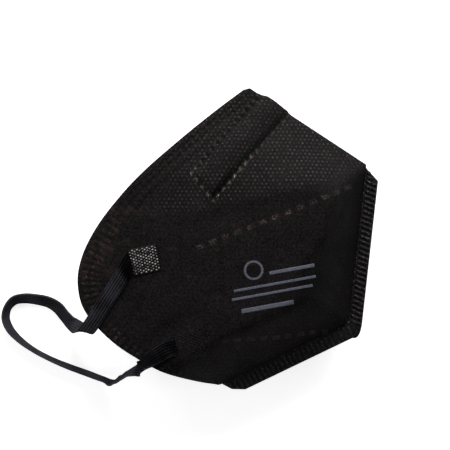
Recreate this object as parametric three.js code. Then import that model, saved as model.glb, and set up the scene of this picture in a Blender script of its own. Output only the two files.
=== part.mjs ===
// A fold-flat respirator mask, half open and lying on its left side: a hollow cloth shell folded
// along the nose, a ribbed weld flange round the front and chin, a nose clip pocket, two flat
// elastic ear loops and the four square welds that hold them.
// Millimetres, +Z up. The flange lies in one level plane, the mid plane. +X points to the front of
// the mask, +Y to its nose, and the surface that the mask lies on is z = 0.

import * as THREE from "three";
import { mergeVertices } from "three/addons/utils/BufferGeometryUtils.js";

// ---- driving dimensions -------------------------------------------------------------------------

const CLOTH = 1.3; // thickness of the pressed cloth layers
const GAP = 0.3; // clearance that neighbouring pieces keep
const SEAT = 0.5; // and the same over the curved, faceted panels
const MID_HEIGHT = 23; // height of the mid plane above the surface
const CENTRE_X = -20.4; // middle of the whole mask with its spread ear loop, along X
const CENTRE_Y = 2.25; // and along Y

const NOSE_TIP = [-2.3, 70.3]; // corners of the fold and flange, in the mid plane
const NOSE_END = [52, 42.8];
const FRONT_END = [52, -25.9];
const CHIN_TIP = [0.9, -57.9];

const FOLD_RADIUS = 2.2; // rounding of the cloth along the nose fold
const FLANGE_WIDTH = 5.8;
const CHIN_WIDTH = 6.4; // the flange is a little wider along the chin
const FLANGE_THICK = 2.2;
const FLANGE_STEP = 1.3; // height of the panels where they leave the flange
const FLANGE_CORNER = 1.2; // reach of the round corner below the front
const FLANGE_TOP_CUT = 6.5; // how far the flange's top slopes down
const TAB_CUT = 8; // how far its chin end is cut back on the outer side
const TAB_END = [4.5, -1.7]; // and where that cut meets the face edge, from the chin tip

const DOME = { x: 5, y: -10, height: 32, reachX: 24.5, reachY: 24 }; // bulge of each side panel
const SOFT_CREASE = 5; // height over which a facet rounds into the dome
const FRONT_CREASE = 5; // and the front facet, which turns more sharply
const REST_CREASE = 2.5; // and the lower panel where it lies flat

const BAND_WIDTH = 6.6; // flat knitted elastic of the ear loops
const BAND_THICK = 0.8;
const PAD_SIZE = 11.8; // square weld that holds an end of an ear loop
const PAD_THICK = 0.8;
const PAD_TURN = 18; // degrees from +X

const POCKET_THICK = 0.8;
const POCKET_MIDDLE = [[-17, 25], [-9, 33]]; // middle of its end that reaches under the mask

// Facets that rise from the fold and the flange. The rise is height per distance from the line, at
// its start and at its end.
const FACETS = {
  nose: { from: NOSE_TIP, to: NOSE_END, riseStart: 0.62, riseEnd: 1.4 },
  front: { from: NOSE_END, to: FRONT_END, riseStart: 2.2, riseEnd: 1.35 },
  chin: { from: FRONT_END, to: CHIN_TIP, riseStart: 1.65, riseEnd: 1.65 },
};

// Sections of one side panel. "along" is the distance from the nose tip round the fold and flange,
// and edgeX, edgeY is where that section meets the face edge.
const SECTIONS = [
  { along: 1, edgeX: -4.2, edgeY: 68.6 },
  { along: 10, edgeX: -12.7, edgeY: 60.2 },
  { along: 21, edgeX: -22.4, edgeY: 50.1 },
  { along: 33, edgeX: -31.3, edgeY: 40.5 },
  { along: 45, edgeX: -39.9, edgeY: 31.1 },
  { along: 54, edgeX: -47.3, edgeY: 21.9 },
  { along: 60.9, edgeX: -53.4, edgeY: 12.9 },
  { along: 69, edgeX: -57.6, edgeY: 5.8 },
  { along: 80, edgeX: -61, edgeY: -1.5 },
  { along: 93, edgeX: -63.6, edgeY: -9.5 },
  { along: 106, edgeX: -64.5, edgeY: -18 },
  { along: 118, edgeX: -63, edgeY: -26 },
  { along: 129.6, edgeX: -60, edgeY: -32 },
  { along: 138, edgeX: -54.7, edgeY: -37.7 },
  { along: 147, edgeX: -45.5, edgeY: -44.5 },
  { along: 156, edgeX: -36, edgeY: -49.3 },
  { along: 165, edgeX: -26, edgeY: -53.4 },
  { along: 174, edgeX: -16.5, edgeY: -56 },
  { along: 182, edgeX: -7.5, edgeY: -57.7 },
  { along: 189, edgeX: -0.8, edgeY: -58.4 },
];
const CORNER_SECTION = 6; // the section at the end of the nose fold
const ROWS_PER_SECTION = 2;
// Where the columns of a panel lie, as shares of the way from the fold or flange to the face edge.
const COLUMNS = [
  0, 0.01, 0.03, 0.06, 0.1, 0.15, 0.2, 0.26, 0.32, 0.39, 0.46, 0.53, 0.6, 0.67, 0.74, 0.81, 0.88,
  0.94, 1,
];

// Soft dents and folds of the upper panel: a trough of the given depth, long in the direction of
// "turn" degrees, fading over "long" and "wide".
const DENTS = [
  { x: 8, y: 19, turn: 18, long: 26, wide: 5, depth: 1.0 },
  { x: -22, y: 20, turn: 55, long: 12, wide: 5, depth: 0.7 },
  { x: -46, y: -24, turn: 62, long: 14, wide: 5, depth: 0.8 },
  { x: -24, y: -36, turn: 40, long: 14, wide: 4, depth: 0.9 },
  { x: 27, y: -14, turn: 75, long: 16, wide: 6, depth: -0.7 },
];

// Centres of the square welds, seen from above.
const UPPER_PAD = [-37.1, -8.1];
const LOWER_PAD = [-14.6, -40.8];

// Route of the right ear loop: centre x and y, then either its height "over" the panel's outer face
// or the "rise" of its lower edge above the surface, then the compass turn and the lean in degrees
// of the line across its width. Between two rows with "over: 0" it follows the panel.
const RIGHT_ROUTE = [
  { x: -43, y: -10, over: 0, turn: -72, lean: 0 },
  { x: -46.8, y: -18.2, over: 0, turn: -36, lean: 0 },
  { x: -50.8, y: -26.2, over: 0, turn: -26, lean: 0 },
  { x: -54, y: -33, over: 0, turn: -24, lean: 0 },
  { x: -56.6, y: -38.2, over: 0.4, turn: -22, lean: 0 },
  { x: -58.8, y: -41, rise: 42, turn: -14, lean: 0 },
  { x: -60.2, y: -41.8, rise: 31, turn: 2, lean: 0 },
  { x: -61.8, y: -41.9, rise: 20, turn: 24, lean: 0 },
  { x: -64.2, y: -41.6, rise: 9, turn: 48, lean: 8 },
  { x: -67.4, y: -40.4, rise: 2, turn: 60, lean: 26 },
  { x: -71, y: -37.2, rise: 0.3, turn: 54, lean: 38 },
  { x: -74.4, y: -34, rise: 0.2, turn: 56, lean: 38 },
  { x: -78.6, y: -32, rise: 0.2, turn: 76, lean: 42 },
  { x: -84, y: -31.3, rise: 0.2, turn: 90, lean: 46 },
  { x: -89.6, y: -31.4, rise: 0.2, turn: 98, lean: 50 },
  { x: -94, y: -32.8, rise: 0.2, turn: 122, lean: 56 },
  { x: -96.7, y: -36.4, rise: 0.2, turn: 158, lean: 66 },
  { x: -97.1, y: -41.2, rise: 0.2, turn: 186, lean: 66 },
  { x: -94.8, y: -45.8, rise: 0.2, turn: 212, lean: 68 },
  { x: -90.2, y: -50, rise: 0.2, turn: 230, lean: 74 },
  { x: -83.1, y: -54.1, rise: 0.2, turn: 243, lean: 80 },
  { x: -75.3, y: -57.2, rise: 0.2, turn: 250, lean: 80 },
  { x: -67.7, y: -59.5, rise: 0.2, turn: 254, lean: 77 },
  { x: -58.6, y: -61.7, rise: 0.2, turn: 256, lean: 75 },
  { x: -52, y: -63.3, rise: 0.9, turn: 260, lean: 77 },
  { x: -47.4, y: -64, rise: 3.5, turn: 276, lean: 82 },
  { x: -44.3, y: -62.2, rise: 9, turn: 302, lean: 86 },
  { x: -41.2, y: -59.4, rise: 18.5, turn: 314, lean: 87 },
  { x: -37.8, y: -56.2, rise: 31, turn: 317, lean: 87 },
  { x: -35, y: -53.8, rise: 43.4, turn: 318, lean: 80 },
  { x: -33.3, y: -52.4, rise: 50.8, turn: 318, lean: 62 },
  { x: -30.1, y: -49.2, over: 0.5, turn: 316, lean: 24 },
  { x: -26.8, y: -46.4, over: 0, turn: 312, lean: 0 },
  { x: -23.8, y: -44.2, over: 0, turn: 302, lean: 0 },
  { x: -20.5, y: -42.7, over: 0, turn: 288, lean: 0 },
];

// Route of the left ear loop, which lies flat under the mask: it doubles back below each weld.
const LEFT_ROUTE = [
  { x: -43, y: -10 },
  { x: -37.1, y: -8.1 },
  { x: -28, y: -2.5 },
  { x: -17, y: 8 },
  { x: -4, y: 15.5 },
  { x: 11, y: 19 },
  { x: 26, y: 17.5 },
  { x: 37, y: 10.5 },
  { x: 41.5, y: -1 },
  { x: 38.5, y: -12.5 },
  { x: 28.5, y: -20.5 },
  { x: 14, y: -25 },
  { x: 1, y: -31.5 },
  { x: -8, y: -37.4 },
  { x: -14.6, y: -40.8 },
  { x: -20.5, y: -42.7 },
];
const LEFT_UNDER_PAD = BAND_THICK / 2; // height of the band's middle on the surface
const LEFT_AT_PAD = 1.5 * BAND_THICK + GAP; // and where it meets the weld above itself

// The lower panel is held up by the band and welds under it.
const LIFT_BAND = { height: BAND_THICK + GAP, near: 18, far: 29 };
const LIFT_PAD = { height: BAND_THICK + PAD_THICK + 2 * GAP, near: 13, far: 25 };
const LIFT_POCKET = { height: POCKET_THICK + SEAT, near: 13, far: 26 };

// The nose clip pocket, by its corners on the right panel, seen from above.
const POCKET = {
  endFront: [-11.5, 19.1],
  endBack: [-22.4, 30.1],
  foldFront: [17, 60.53],
  foldBack: [2.6, 67.82],
};
const POCKET_ROWS = [0, 0.1, 0.2, 0.3, 0.4, 0.48, 0.56, 0.64, 0.72, 0.8, 0.88, 0.94, 0.98, 1];
const POCKET_COLUMNS = 5;

const radians = THREE.MathUtils.degToRad;
const colours = { cloth: 0x1b1918, weld: 0x24211f, elastic: 0x191b20, pad: 0x4a4540 };

// ---- the shape of the cloth ---------------------------------------------------------------------

const mix = (a, b, t) => a + (b - a) * t;
const point2 = ([x, y]) => new THREE.Vector2(x, y);

// The lesser of two heights, with the corner between them rounded off.
function softMin(a, b, round) {
  const h = Math.max(round - Math.abs(a - b), 0) / round;
  return Math.min(a, b) - (h * h * round) / 4;
}

// Distance of a plan point from a facet's line (positive towards the face) and its share along it.
function fromLine({ from, to }, x, y) {
  const dx = to[0] - from[0];
  const dy = to[1] - from[1];
  const length = Math.hypot(dx, dy);
  const share = ((x - from[0]) * dx + (y - from[1]) * dy) / length ** 2;
  const away = ((x - from[0]) * dy - (y - from[1]) * dx) / length;
  return { away: Math.max(away, 0), share: THREE.MathUtils.clamp(share, 0, 1) };
}

function facetHeight(facet, x, y) {
  const { away, share } = fromLine(facet, x, y);
  return mix(facet.riseStart, facet.riseEnd, share) * away;
}

function noseHeight(x, y) {
  const rise = facetHeight(FACETS.nose, x, y);
  const { away } = fromLine(FACETS.nose, x, y);
  return Math.sqrt(rise ** 2 + 2 * FOLD_RADIUS * away);
}

function domeHeight(x, y) {
  const across = (x - DOME.x) / DOME.reachX;
  const up = (y - DOME.y) / DOME.reachY;
  return DOME.height - across ** 2 - up ** 2;
}

function dentDepth(x, y) {
  return DENTS.reduce((sum, dent) => {
    const turn = radians(dent.turn);
    const along = (x - dent.x) * Math.cos(turn) + (y - dent.y) * Math.sin(turn);
    const across = (y - dent.y) * Math.cos(turn) - (x - dent.x) * Math.sin(turn);
    return sum + dent.depth * Math.exp(-((along / dent.long) ** 2) - (across / dent.wide) ** 2);
  }, 0);
}

// Height of a panel's outer face from the mid plane, before any dent or rest.
function bulge(x, y) {
  const front = FLANGE_STEP + facetHeight(FACETS.front, x, y);
  const chin = FLANGE_STEP + facetHeight(FACETS.chin, x, y);
  const open = softMin(domeHeight(x, y), noseHeight(x, y), SOFT_CREASE);
  return softMin(softMin(open, front, FRONT_CREASE), chin, FRONT_CREASE);
}

function upperHeight(x, y) {
  const height = bulge(x, y);
  const fade = Math.min(height / DOME.height, 1);
  return MID_HEIGHT + Math.max(height - fade * dentDepth(x, y), 0);
}

const leftLane = new THREE.CatmullRomCurve3(
  LEFT_ROUTE.map(({ x, y }) => new THREE.Vector3(x, y, 0)),
  false,
  "centripetal",
);
const lanePoints = leftLane.getPoints(60);

function liftAt(x, y) {
  const spot = new THREE.Vector3(x, y, 0);
  const fade = (lift, distance) =>
    lift.height * (1 - THREE.MathUtils.smoothstep(distance, lift.near, lift.far));
  const toBand = Math.min(...lanePoints.map((point) => point.distanceTo(spot)));
  const nearest = (places) => Math.min(...places.map(([a, b]) => Math.hypot(x - a, y - b)));
  return Math.max(
    fade(LIFT_BAND, toBand),
    fade(LIFT_PAD, nearest([UPPER_PAD, LOWER_PAD])),
    fade(LIFT_POCKET, nearest(POCKET_MIDDLE)),
  );
}

function lowerHeight(x, y) {
  const room = MID_HEIGHT - liftAt(x, y);
  return MID_HEIGHT - Math.max(softMin(bulge(x, y), room, REST_CREASE), 0);
}

// Each side's face point and outward normal over a plan point.
const SIDES = {
  right: { height: upperHeight, up: 1 },
  left: { height: lowerHeight, up: -1 },
};

function facePoint(side, x, y) {
  return new THREE.Vector3(x, y, side.height(x, y));
}

function faceNormal(side, x, y) {
  const step = 0.5;
  const slopeX = (side.height(x + step, y) - side.height(x - step, y)) / (2 * step);
  const slopeY = (side.height(x, y + step) - side.height(x, y - step)) / (2 * step);
  return new THREE.Vector3(-slopeX, -slopeY, 1).normalize().multiplyScalar(side.up);
}

function offFace(side, x, y, distance) {
  return facePoint(side, x, y).addScaledVector(faceNormal(side, x, y), distance);
}

// ---- thick sheets -------------------------------------------------------------------------------

// Faces of a rectangular grid of point numbers, counter-clockwise seen from its outer side.
function gridQuads(numbers) {
  const quads = [];
  for (let i = 0; i + 1 < numbers.length; i += 1) {
    for (let j = 0; j + 1 < numbers[i].length; j += 1) {
      quads.push([numbers[i][j], numbers[i + 1][j], numbers[i + 1][j + 1], numbers[i][j + 1]]);
    }
  }
  return quads;
}

function outwardNormals(points, quads) {
  const normals = points.map(() => new THREE.Vector3());
  for (const quad of quads) {
    const [a, b, c, d] = quad.map((number) => points[number]);
    const across = new THREE.Vector3().subVectors(c, a);
    const down = new THREE.Vector3().subVectors(d, b);
    const normal = across.cross(down);
    quad.forEach((number) => normals[number].add(normal));
  }
  return normals.map((normal) => normal.normalize());
}

// A closed body: the outer faces, the same faces moved inward, and a wall round every open edge.
function thickSheet(points, quads, thickness) {
  const count = points.length;
  const normals = outwardNormals(points, quads);
  const inner = points.map((point, k) => point.clone().addScaledVector(normals[k], -thickness));
  const triangles = [];
  const directed = new Set();
  for (const [a, b, c, d] of quads) {
    triangles.push(a, b, c, a, c, d);
    triangles.push(count + a, count + c, count + b, count + a, count + d, count + c);
    [[a, b], [b, c], [c, d], [d, a]].forEach(([p, q]) => directed.add(`${p} ${q}`));
  }
  for (const edge of directed) {
    const [p, q] = edge.split(" ").map(Number);
    if (!directed.has(`${q} ${p}`)) {
      triangles.push(q, p, count + p, q, count + p, count + q);
    }
  }
  const geometry = new THREE.BufferGeometry();
  const flat = [...points, ...inner].flatMap((point) => point.toArray());
  geometry.setAttribute("position", new THREE.Float32BufferAttribute(flat, 3));
  geometry.setIndex(triangles);
  return geometry;
}

function sheetFromGrid(grid, thickness) {
  const numbers = grid.map((row, i) => row.map((_, j) => i * row.length + j));
  return thickSheet(grid.flat(), gridQuads(numbers), thickness);
}

// ---- the shell ----------------------------------------------------------------------------------

// The point at a distance from the nose tip, round the fold and flange.
function ridgePoint(along) {
  let left = along;
  for (const { from, to } of Object.values(FACETS)) {
    const length = Math.hypot(to[0] - from[0], to[1] - from[1]);
    if (left <= length) {
      return [mix(from[0], to[0], left / length), mix(from[1], to[1], left / length)];
    }
    left -= length;
  }
  return CHIN_TIP;
}

// The rows of a panel: where each starts on the fold or flange and ends on the face edge.
function panelRows() {
  const table = new THREE.CatmullRomCurve3(
    SECTIONS.map(({ along, edgeX, edgeY }) => new THREE.Vector3(edgeX, edgeY, along)),
    false,
    "centripetal",
  );
  const steps = (SECTIONS.length - 1) * ROWS_PER_SECTION;
  return Array.from({ length: steps + 1 }, (_, i) => {
    const point = table.getPoint(i / steps);
    return { ridge: ridgePoint(point.z), edge: [point.x, point.y] };
  });
}

function shellGeometry() {
  const rows = panelRows();
  const splitRow = CORNER_SECTION * ROWS_PER_SECTION;
  const points = [];
  const add = (point) => points.push(point) - 1;
  const numbers = { right: [], left: [] };
  rows.forEach(({ ridge, edge }, i) => {
    for (const [name, side] of Object.entries(SIDES)) {
      numbers[name][i] = COLUMNS.map((share, j) => {
        const folded = j === 0 && i <= splitRow;
        if (folded && name === "left") {
          return numbers.right[i][0];
        }
        const x = mix(ridge[0], edge[0], share);
        const y = mix(ridge[1], edge[1], share);
        return add(folded ? new THREE.Vector3(x, y, MID_HEIGHT) : facePoint(side, x, y));
      });
    }
  });
  const rightRows = numbers.right.map((row) => [...row].reverse());
  const quads = [...gridQuads(rightRows), ...gridQuads(numbers.left)];
  return thickSheet(points, quads, CLOTH);
}

// ---- the flange ---------------------------------------------------------------------------------

// The flange's outline: its inner side keeps a gap to the panels, its lower front corner is round,
// its top is cut along the slope of the nose and its last stretch along the face edge.
function flangeOutline() {
  const chin = new THREE.Vector2().subVectors(point2(CHIN_TIP), point2(FRONT_END)).normalize();
  const outward = new THREE.Vector2(-chin.y, chin.x);
  const chinOut = point2(FRONT_END).addScaledVector(outward, CHIN_WIDTH);
  const tabOut = point2(CHIN_TIP).addScaledVector(outward, CHIN_WIDTH);
  const frontOut = FRONT_END[0] + FLANGE_WIDTH;
  const outline = new THREE.Shape();
  outline.moveTo(NOSE_END[0] + GAP, NOSE_END[1] - 2 * GAP);
  outline.lineTo(FRONT_END[0] + GAP, FRONT_END[1]);
  outline.lineTo(CHIN_TIP[0] + outward.x * GAP, CHIN_TIP[1] + outward.y * GAP);
  outline.lineTo(CHIN_TIP[0] + TAB_END[0], CHIN_TIP[1] + TAB_END[1]);
  outline.lineTo(tabOut.x - chin.x * TAB_CUT, tabOut.y - chin.y * TAB_CUT);
  outline.lineTo(chinOut.x + chin.x * FLANGE_CORNER, chinOut.y + chin.y * FLANGE_CORNER);
  outline.quadraticCurveTo(
    frontOut, chinOut.y - FLANGE_CORNER, frontOut, FRONT_END[1] + FLANGE_CORNER,
  );
  outline.lineTo(frontOut, NOSE_END[1] - FLANGE_TOP_CUT);
  outline.closePath();
  return outline;
}

function flangeGeometry() {
  const options = { depth: FLANGE_THICK, bevelEnabled: false, curveSegments: 6 };
  const slab = new THREE.ExtrudeGeometry(flangeOutline(), options);
  return slab.translate(0, 0, MID_HEIGHT - FLANGE_THICK / 2);
}

// ---- the nose clip pocket -----------------------------------------------------------------------

function pocketGeometry() {
  const lift = SEAT + POCKET_THICK;
  const planAt = (share, across) => {
    const endX = mix(POCKET.endFront[0], POCKET.endBack[0], across);
    const endY = mix(POCKET.endFront[1], POCKET.endBack[1], across);
    const foldX = mix(POCKET.foldFront[0], POCKET.foldBack[0], across);
    const foldY = mix(POCKET.foldFront[1], POCKET.foldBack[1], across);
    return [mix(endX, foldX, share), mix(endY, foldY, share)];
  };
  const shares = Array.from({ length: POCKET_COLUMNS + 1 }, (_, k) => k / POCKET_COLUMNS);
  const over = (side) => (share) => shares.map((across) => {
    const [x, y] = planAt(share, across);
    return share === 1 ? new THREE.Vector3(x, y, MID_HEIGHT) : facePoint(side, x, y);
  });
  const right = POCKET_ROWS.map(over(SIDES.right));
  const left = POCKET_ROWS.slice(0, -1).reverse().map(over(SIDES.left));
  const grid = [...right, ...left];
  const numbers = grid.map((row, i) => row.map((_, j) => i * row.length + j));
  const normals = outwardNormals(grid.flat(), gridQuads(numbers));
  const raised = grid.map((row, i) => row.map((point, j) =>
    point.clone().addScaledVector(normals[numbers[i][j]], lift)));
  return sheetFromGrid(raised, POCKET_THICK);
}

// ---- the ear loops ------------------------------------------------------------------------------

// A strip along a list of centres, each with its direction across the width.
function bandGeometry(stations) {
  const grid = stations.map(({ centre, across }) => [-1, 0, 1].map((step) =>
    centre.clone().addScaledVector(across, (step * BAND_WIDTH) / 2)));
  return sheetFromGrid(grid, BAND_THICK);
}

const RIGHT_STEPS = 4; // stations between two rows of the route's table

function acrossOf({ turn, lean }) {
  const flat = Math.cos(radians(lean));
  return new THREE.Vector3(
    flat * Math.cos(radians(turn)),
    flat * Math.sin(radians(turn)),
    Math.sin(radians(lean)),
  );
}

// The band's outer face is seated one thickness higher where that face looks up.
function seatOf(along, across) {
  return SEAT + (along.x * across.y > along.y * across.x ? BAND_THICK : 0);
}

function rightLoopGeometry() {
  const plan = new THREE.CatmullRomCurve3(
    RIGHT_ROUTE.map(({ x, y }) => new THREE.Vector3(x, y, 0)),
    false,
    "centripetal",
  );
  const spans = RIGHT_ROUTE.length - 1;
  const centreOf = (row, k) => {
    const across = acrossOf(row);
    const halfWidth = (BAND_WIDTH / 2) * across.z;
    if (row.rise === undefined) {
      const seat = seatOf(plan.getTangent(k / spans), across);
      return offFace(SIDES.right, row.x, row.y, seat + row.over + halfWidth);
    }
    return new THREE.Vector3(row.x, row.y, row.rise + halfWidth);
  };
  const centres = new THREE.CatmullRomCurve3(RIGHT_ROUTE.map(centreOf), false, "centripetal");
  const turns = new THREE.CatmullRomCurve3(
    RIGHT_ROUTE.map(({ turn, lean }) => new THREE.Vector3(turn, lean, 0)),
    false,
    "centripetal",
  );
  const grid = [];
  for (let k = 0; k <= spans * RIGHT_STEPS; k += 1) {
    const share = k / (spans * RIGHT_STEPS);
    const row = k / RIGHT_STEPS;
    const onPanel = RIGHT_ROUTE[Math.floor(row)].over === 0
      && RIGHT_ROUTE[Math.ceil(row)].over === 0;
    const centre = centres.getPoint(share);
    const along = centres.getTangent(share);
    const { x: turn, y: lean } = turns.getPoint(share);
    const across = acrossOf({ turn, lean });
    if (onPanel) {
      across.divideScalar(across.clone().cross(along).length());
    } else {
      across.addScaledVector(along, -across.dot(along)).normalize();
    }
    const seat = seatOf(along, across);
    grid.push([-1, 0, 1].map((step) => {
      const point = centre.clone().addScaledVector(across, (step * BAND_WIDTH) / 2);
      return onPanel ? offFace(SIDES.right, point.x, point.y, seat) : point;
    }));
  }
  return sheetFromGrid(grid, BAND_THICK);
}

// A half turn, seen from the side, from the weld's level down to the surface.
function doubleBack(start, heading) {
  const radius = (LEFT_AT_PAD - LEFT_UNDER_PAD) / 2;
  const middle = (LEFT_AT_PAD + LEFT_UNDER_PAD) / 2;
  return [0, 30, 60, 90, 120, 150].map((degrees) => {
    const angle = radians(degrees);
    return new THREE.Vector3(
      start[0] - heading.x * radius * Math.sin(angle),
      start[1] - heading.y * radius * Math.sin(angle),
      middle + radius * Math.cos(angle),
    );
  });
}

function leftLoopGeometry() {
  const lane = leftLane.getSpacedPoints(72).map((point) => point.setZ(LEFT_UNDER_PAD));
  const first = leftLane.getTangentAt(0);
  const last = leftLane.getTangentAt(1).negate();
  const opening = doubleBack([lane[0].x, lane[0].y], first);
  const closing = doubleBack([lane.at(-1).x, lane.at(-1).y], last).reverse();
  const half = BAND_THICK / 2;
  const levelAcross = (along) => new THREE.Vector3(-along.y, along.x, 0).normalize();
  const lead = [
    ...opening.map((centre) => ({ centre, across: levelAcross(first) })),
    ...lane.map((centre, k) => ({
      centre,
      across: levelAcross(leftLane.getTangentAt(k / (lane.length - 1))),
    })),
    ...closing.map((centre) => ({ centre, across: levelAcross(last.clone().negate()) })),
  ];
  // The strip is thickened inward from its outer face, so the stations move out by half of it.
  const stations = lead.map(({ centre, across }, k) => {
    const before = lead[Math.max(k - 1, 0)].centre;
    const after = lead[Math.min(k + 1, lead.length - 1)].centre;
    const along = new THREE.Vector3().subVectors(after, before).normalize();
    const outward = new THREE.Vector3().crossVectors(along, across).normalize();
    return { centre: centre.clone().addScaledVector(outward, half), across };
  });
  return bandGeometry(stations);
}

// ---- the welds ----------------------------------------------------------------------------------

function padGeometry(side, centre) {
  const turn = radians(PAD_TURN);
  const shares = [-0.5, -0.25, 0, 0.25, 0.5];
  const grid = shares.map((up) => shares.map((over) => {
    const x = over * PAD_SIZE * Math.cos(turn) - up * PAD_SIZE * Math.sin(turn);
    const y = over * PAD_SIZE * Math.sin(turn) + up * PAD_SIZE * Math.cos(turn);
    return offFace(side, centre[0] + x, centre[1] + y, (side.up > 0 ? SEAT : GAP) + PAD_THICK);
  }));
  const facing = side.up > 0 ? grid.reverse() : grid;
  return sheetFromGrid(facing, PAD_THICK);
}

// ---- assembly -----------------------------------------------------------------------------------

function piece(name, geometry, colour, roughness) {
  geometry.deleteAttribute("normal");
  geometry.deleteAttribute("uv");
  const closed = mergeVertices(geometry, 1e-5);
  closed.computeVertexNormals();
  const material = new THREE.MeshStandardMaterial({ color: colour, roughness, metalness: 0 });
  const mesh = new THREE.Mesh(closed, material);
  mesh.name = name;
  return mesh;
}

const mask = new THREE.Group();
mask.add(piece("mask_shell", shellGeometry(), colours.cloth, 0.9));
mask.add(piece("seam_band", flangeGeometry(), colours.weld, 0.6));
mask.add(piece("nose_clip_pocket", pocketGeometry(), colours.cloth, 0.9));
mask.add(piece("right_ear_loop", rightLoopGeometry(), colours.elastic, 0.85));
mask.add(piece("left_ear_loop", leftLoopGeometry(), colours.elastic, 0.85));
for (const [name, side] of Object.entries(SIDES)) {
  mask.add(piece(`${name}_upper_weld`, padGeometry(side, UPPER_PAD), colours.pad, 0.5));
  mask.add(piece(`${name}_lower_weld`, padGeometry(side, LOWER_PAD), colours.pad, 0.5));
}
mask.position.set(-CENTRE_X, -CENTRE_Y, 0);

export default mask;
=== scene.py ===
# %% [markdown]
# # A fold-flat respirator mask, half open and lying on its side
#
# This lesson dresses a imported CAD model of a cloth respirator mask. The CAD gives the true form and
# size. Here every soft piece is built again with finer cloth: the folded shell with its rows of
# weld dashes, the ribbed flange, the nose clip pocket, two knitted ear bands and four dotted welds.
#
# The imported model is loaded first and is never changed. New pieces stand in for its nodes, in the
# same place and at the same size, and ride on its one body.

# %% Load the frame and keep its box
import math
from functools import partial

import bpy
import numpy as np
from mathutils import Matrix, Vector


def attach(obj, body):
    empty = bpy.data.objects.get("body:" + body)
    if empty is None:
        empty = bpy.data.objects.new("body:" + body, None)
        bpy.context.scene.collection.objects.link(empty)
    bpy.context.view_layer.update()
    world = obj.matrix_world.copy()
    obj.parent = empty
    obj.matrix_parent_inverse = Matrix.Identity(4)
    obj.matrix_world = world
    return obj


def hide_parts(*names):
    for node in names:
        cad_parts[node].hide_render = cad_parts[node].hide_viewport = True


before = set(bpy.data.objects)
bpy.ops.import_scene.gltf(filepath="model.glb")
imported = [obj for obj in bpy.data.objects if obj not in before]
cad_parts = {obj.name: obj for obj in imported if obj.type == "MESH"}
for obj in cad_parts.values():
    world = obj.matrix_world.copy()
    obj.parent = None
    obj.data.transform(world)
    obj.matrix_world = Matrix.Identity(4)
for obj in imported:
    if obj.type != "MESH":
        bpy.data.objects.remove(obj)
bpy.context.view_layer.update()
bpy.ops.object.select_all(action="DESELECT")
print("CAD nodes:", sorted(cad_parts))

# %% [markdown]
# ## One frame for all the numbers
#
# The drawing of the mask is in millimetres, with the flange in one level plane, 23 mm above the
# surface. +X points to the front of the mask and +Y to its nose. The model itself is in metres
# with the middle of its box at the origin, so one function turns drawing points into model points.
# Each piece could be placed by hand instead, but then a change to the drawing would have to be
# made twice.

# %% From drawing millimetres to model metres
MM = 0.001
MODEL_SHIFT = np.array([20.4, -2.25, 0.0])
MID_HEIGHT = 23.0


def to_model(points_mm):
    """Model points in metres from drawing points in millimetres."""
    return (np.asarray(points_mm, float) + MODEL_SHIFT) * MM


print("the drawing's own zero is at", to_model([0, 0, MID_HEIGHT]))

# %% [markdown]
# ## The camera
#
# The mask is looked at from straight above, with the camera turned a little. A short lens close by
# would make the raised middle of the mask look larger than its rim. A long lens from far away keeps
# both almost the same size, so it is used here.

# %% Camera
CAMERA_OVER = (-5.5, 10.2)  # the drawing point that it looks at
CAMERA_HEIGHT = 900.0  # over the flange
CAMERA_TURN = 6.4
FRAME_WIDTH = 193.5  # what the view spans at the flange, in millimetres
SENSOR = 36.0


def link_object(name, data):
    """An object with this data, linked into the scene."""
    made = bpy.data.objects.new(name, data)
    bpy.context.scene.collection.objects.link(made)
    return made


camera_data = bpy.data.cameras.new("camera")
camera_data.sensor_width = SENSOR
camera_data.lens = SENSOR * CAMERA_HEIGHT / FRAME_WIDTH
camera_data.clip_start, camera_data.clip_end = 0.05, 20.0
camera = link_object("camera", camera_data)
camera.location = to_model([*CAMERA_OVER, MID_HEIGHT + CAMERA_HEIGHT])
camera.rotation_euler = (0.0, 0.0, math.radians(CAMERA_TURN))
bpy.context.scene.camera = camera
print("camera lens:", round(camera_data.lens, 1), "mm at", [round(v, 3) for v in camera.location])

# %% [markdown]
# ## The form of the cloth
#
# The mask is one blank, folded along the nose. Each side rises from the fold and from the flange in
# soft facets and then rounds into a shallow dome. The same few functions as in the CAD source give
# the height of a side over any point of the drawing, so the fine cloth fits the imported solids. A
# sculpted form could be softer, but it would drift away from the CAD.

# %% Facets and dome
NOSE_TIP, NOSE_END = (-2.3, 70.3), (52.0, 42.8)
FRONT_END, CHIN_TIP = (52.0, -25.9), (0.9, -57.9)
FACETS = {  # start and end of the line, and the rise for each millimetre from it at both
    "nose": (NOSE_TIP, NOSE_END, 0.62, 1.4),
    "front": (NOSE_END, FRONT_END, 2.2, 1.35),
    "chin": (FRONT_END, CHIN_TIP, 1.65, 1.65),
}
FOLD_RADIUS = 2.2  # of the nose fold
FLANGE_STEP = 1.3  # how far a side stands off the flange's middle plane at the seam
DOME = {"x": 5, "y": -10, "height": 32, "reach_x": 24.5, "reach_y": 24}
SOFT_CREASE, REST_CREASE = 5.0, 2.5


def soft_min(a, b, reach):
    """The lower of two heights, rounded where they cross."""
    share = np.maximum(reach - np.abs(a - b), 0) / reach
    return np.minimum(a, b) - share * share * reach / 4


def turned(x, y, degrees):
    """Places along and across a direction that is turned this far from +X."""
    c, s = math.cos(math.radians(degrees)), math.sin(math.radians(degrees))
    return x * c + y * s, y * c - x * s


def from_line(facet, x, y):
    """Distance from a facet's line towards the face, and the facet's height there."""
    (x0, y0), (x1, y1), start, end = facet
    dx, dy = x1 - x0, y1 - y0
    length = math.hypot(dx, dy)
    share = np.clip(((x - x0) * dx + (y - y0) * dy) / length ** 2, 0, 1)
    away = np.maximum(((x - x0) * dy - (y - y0) * dx) / length, 0)
    return away, (start + (end - start) * share) * away


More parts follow.
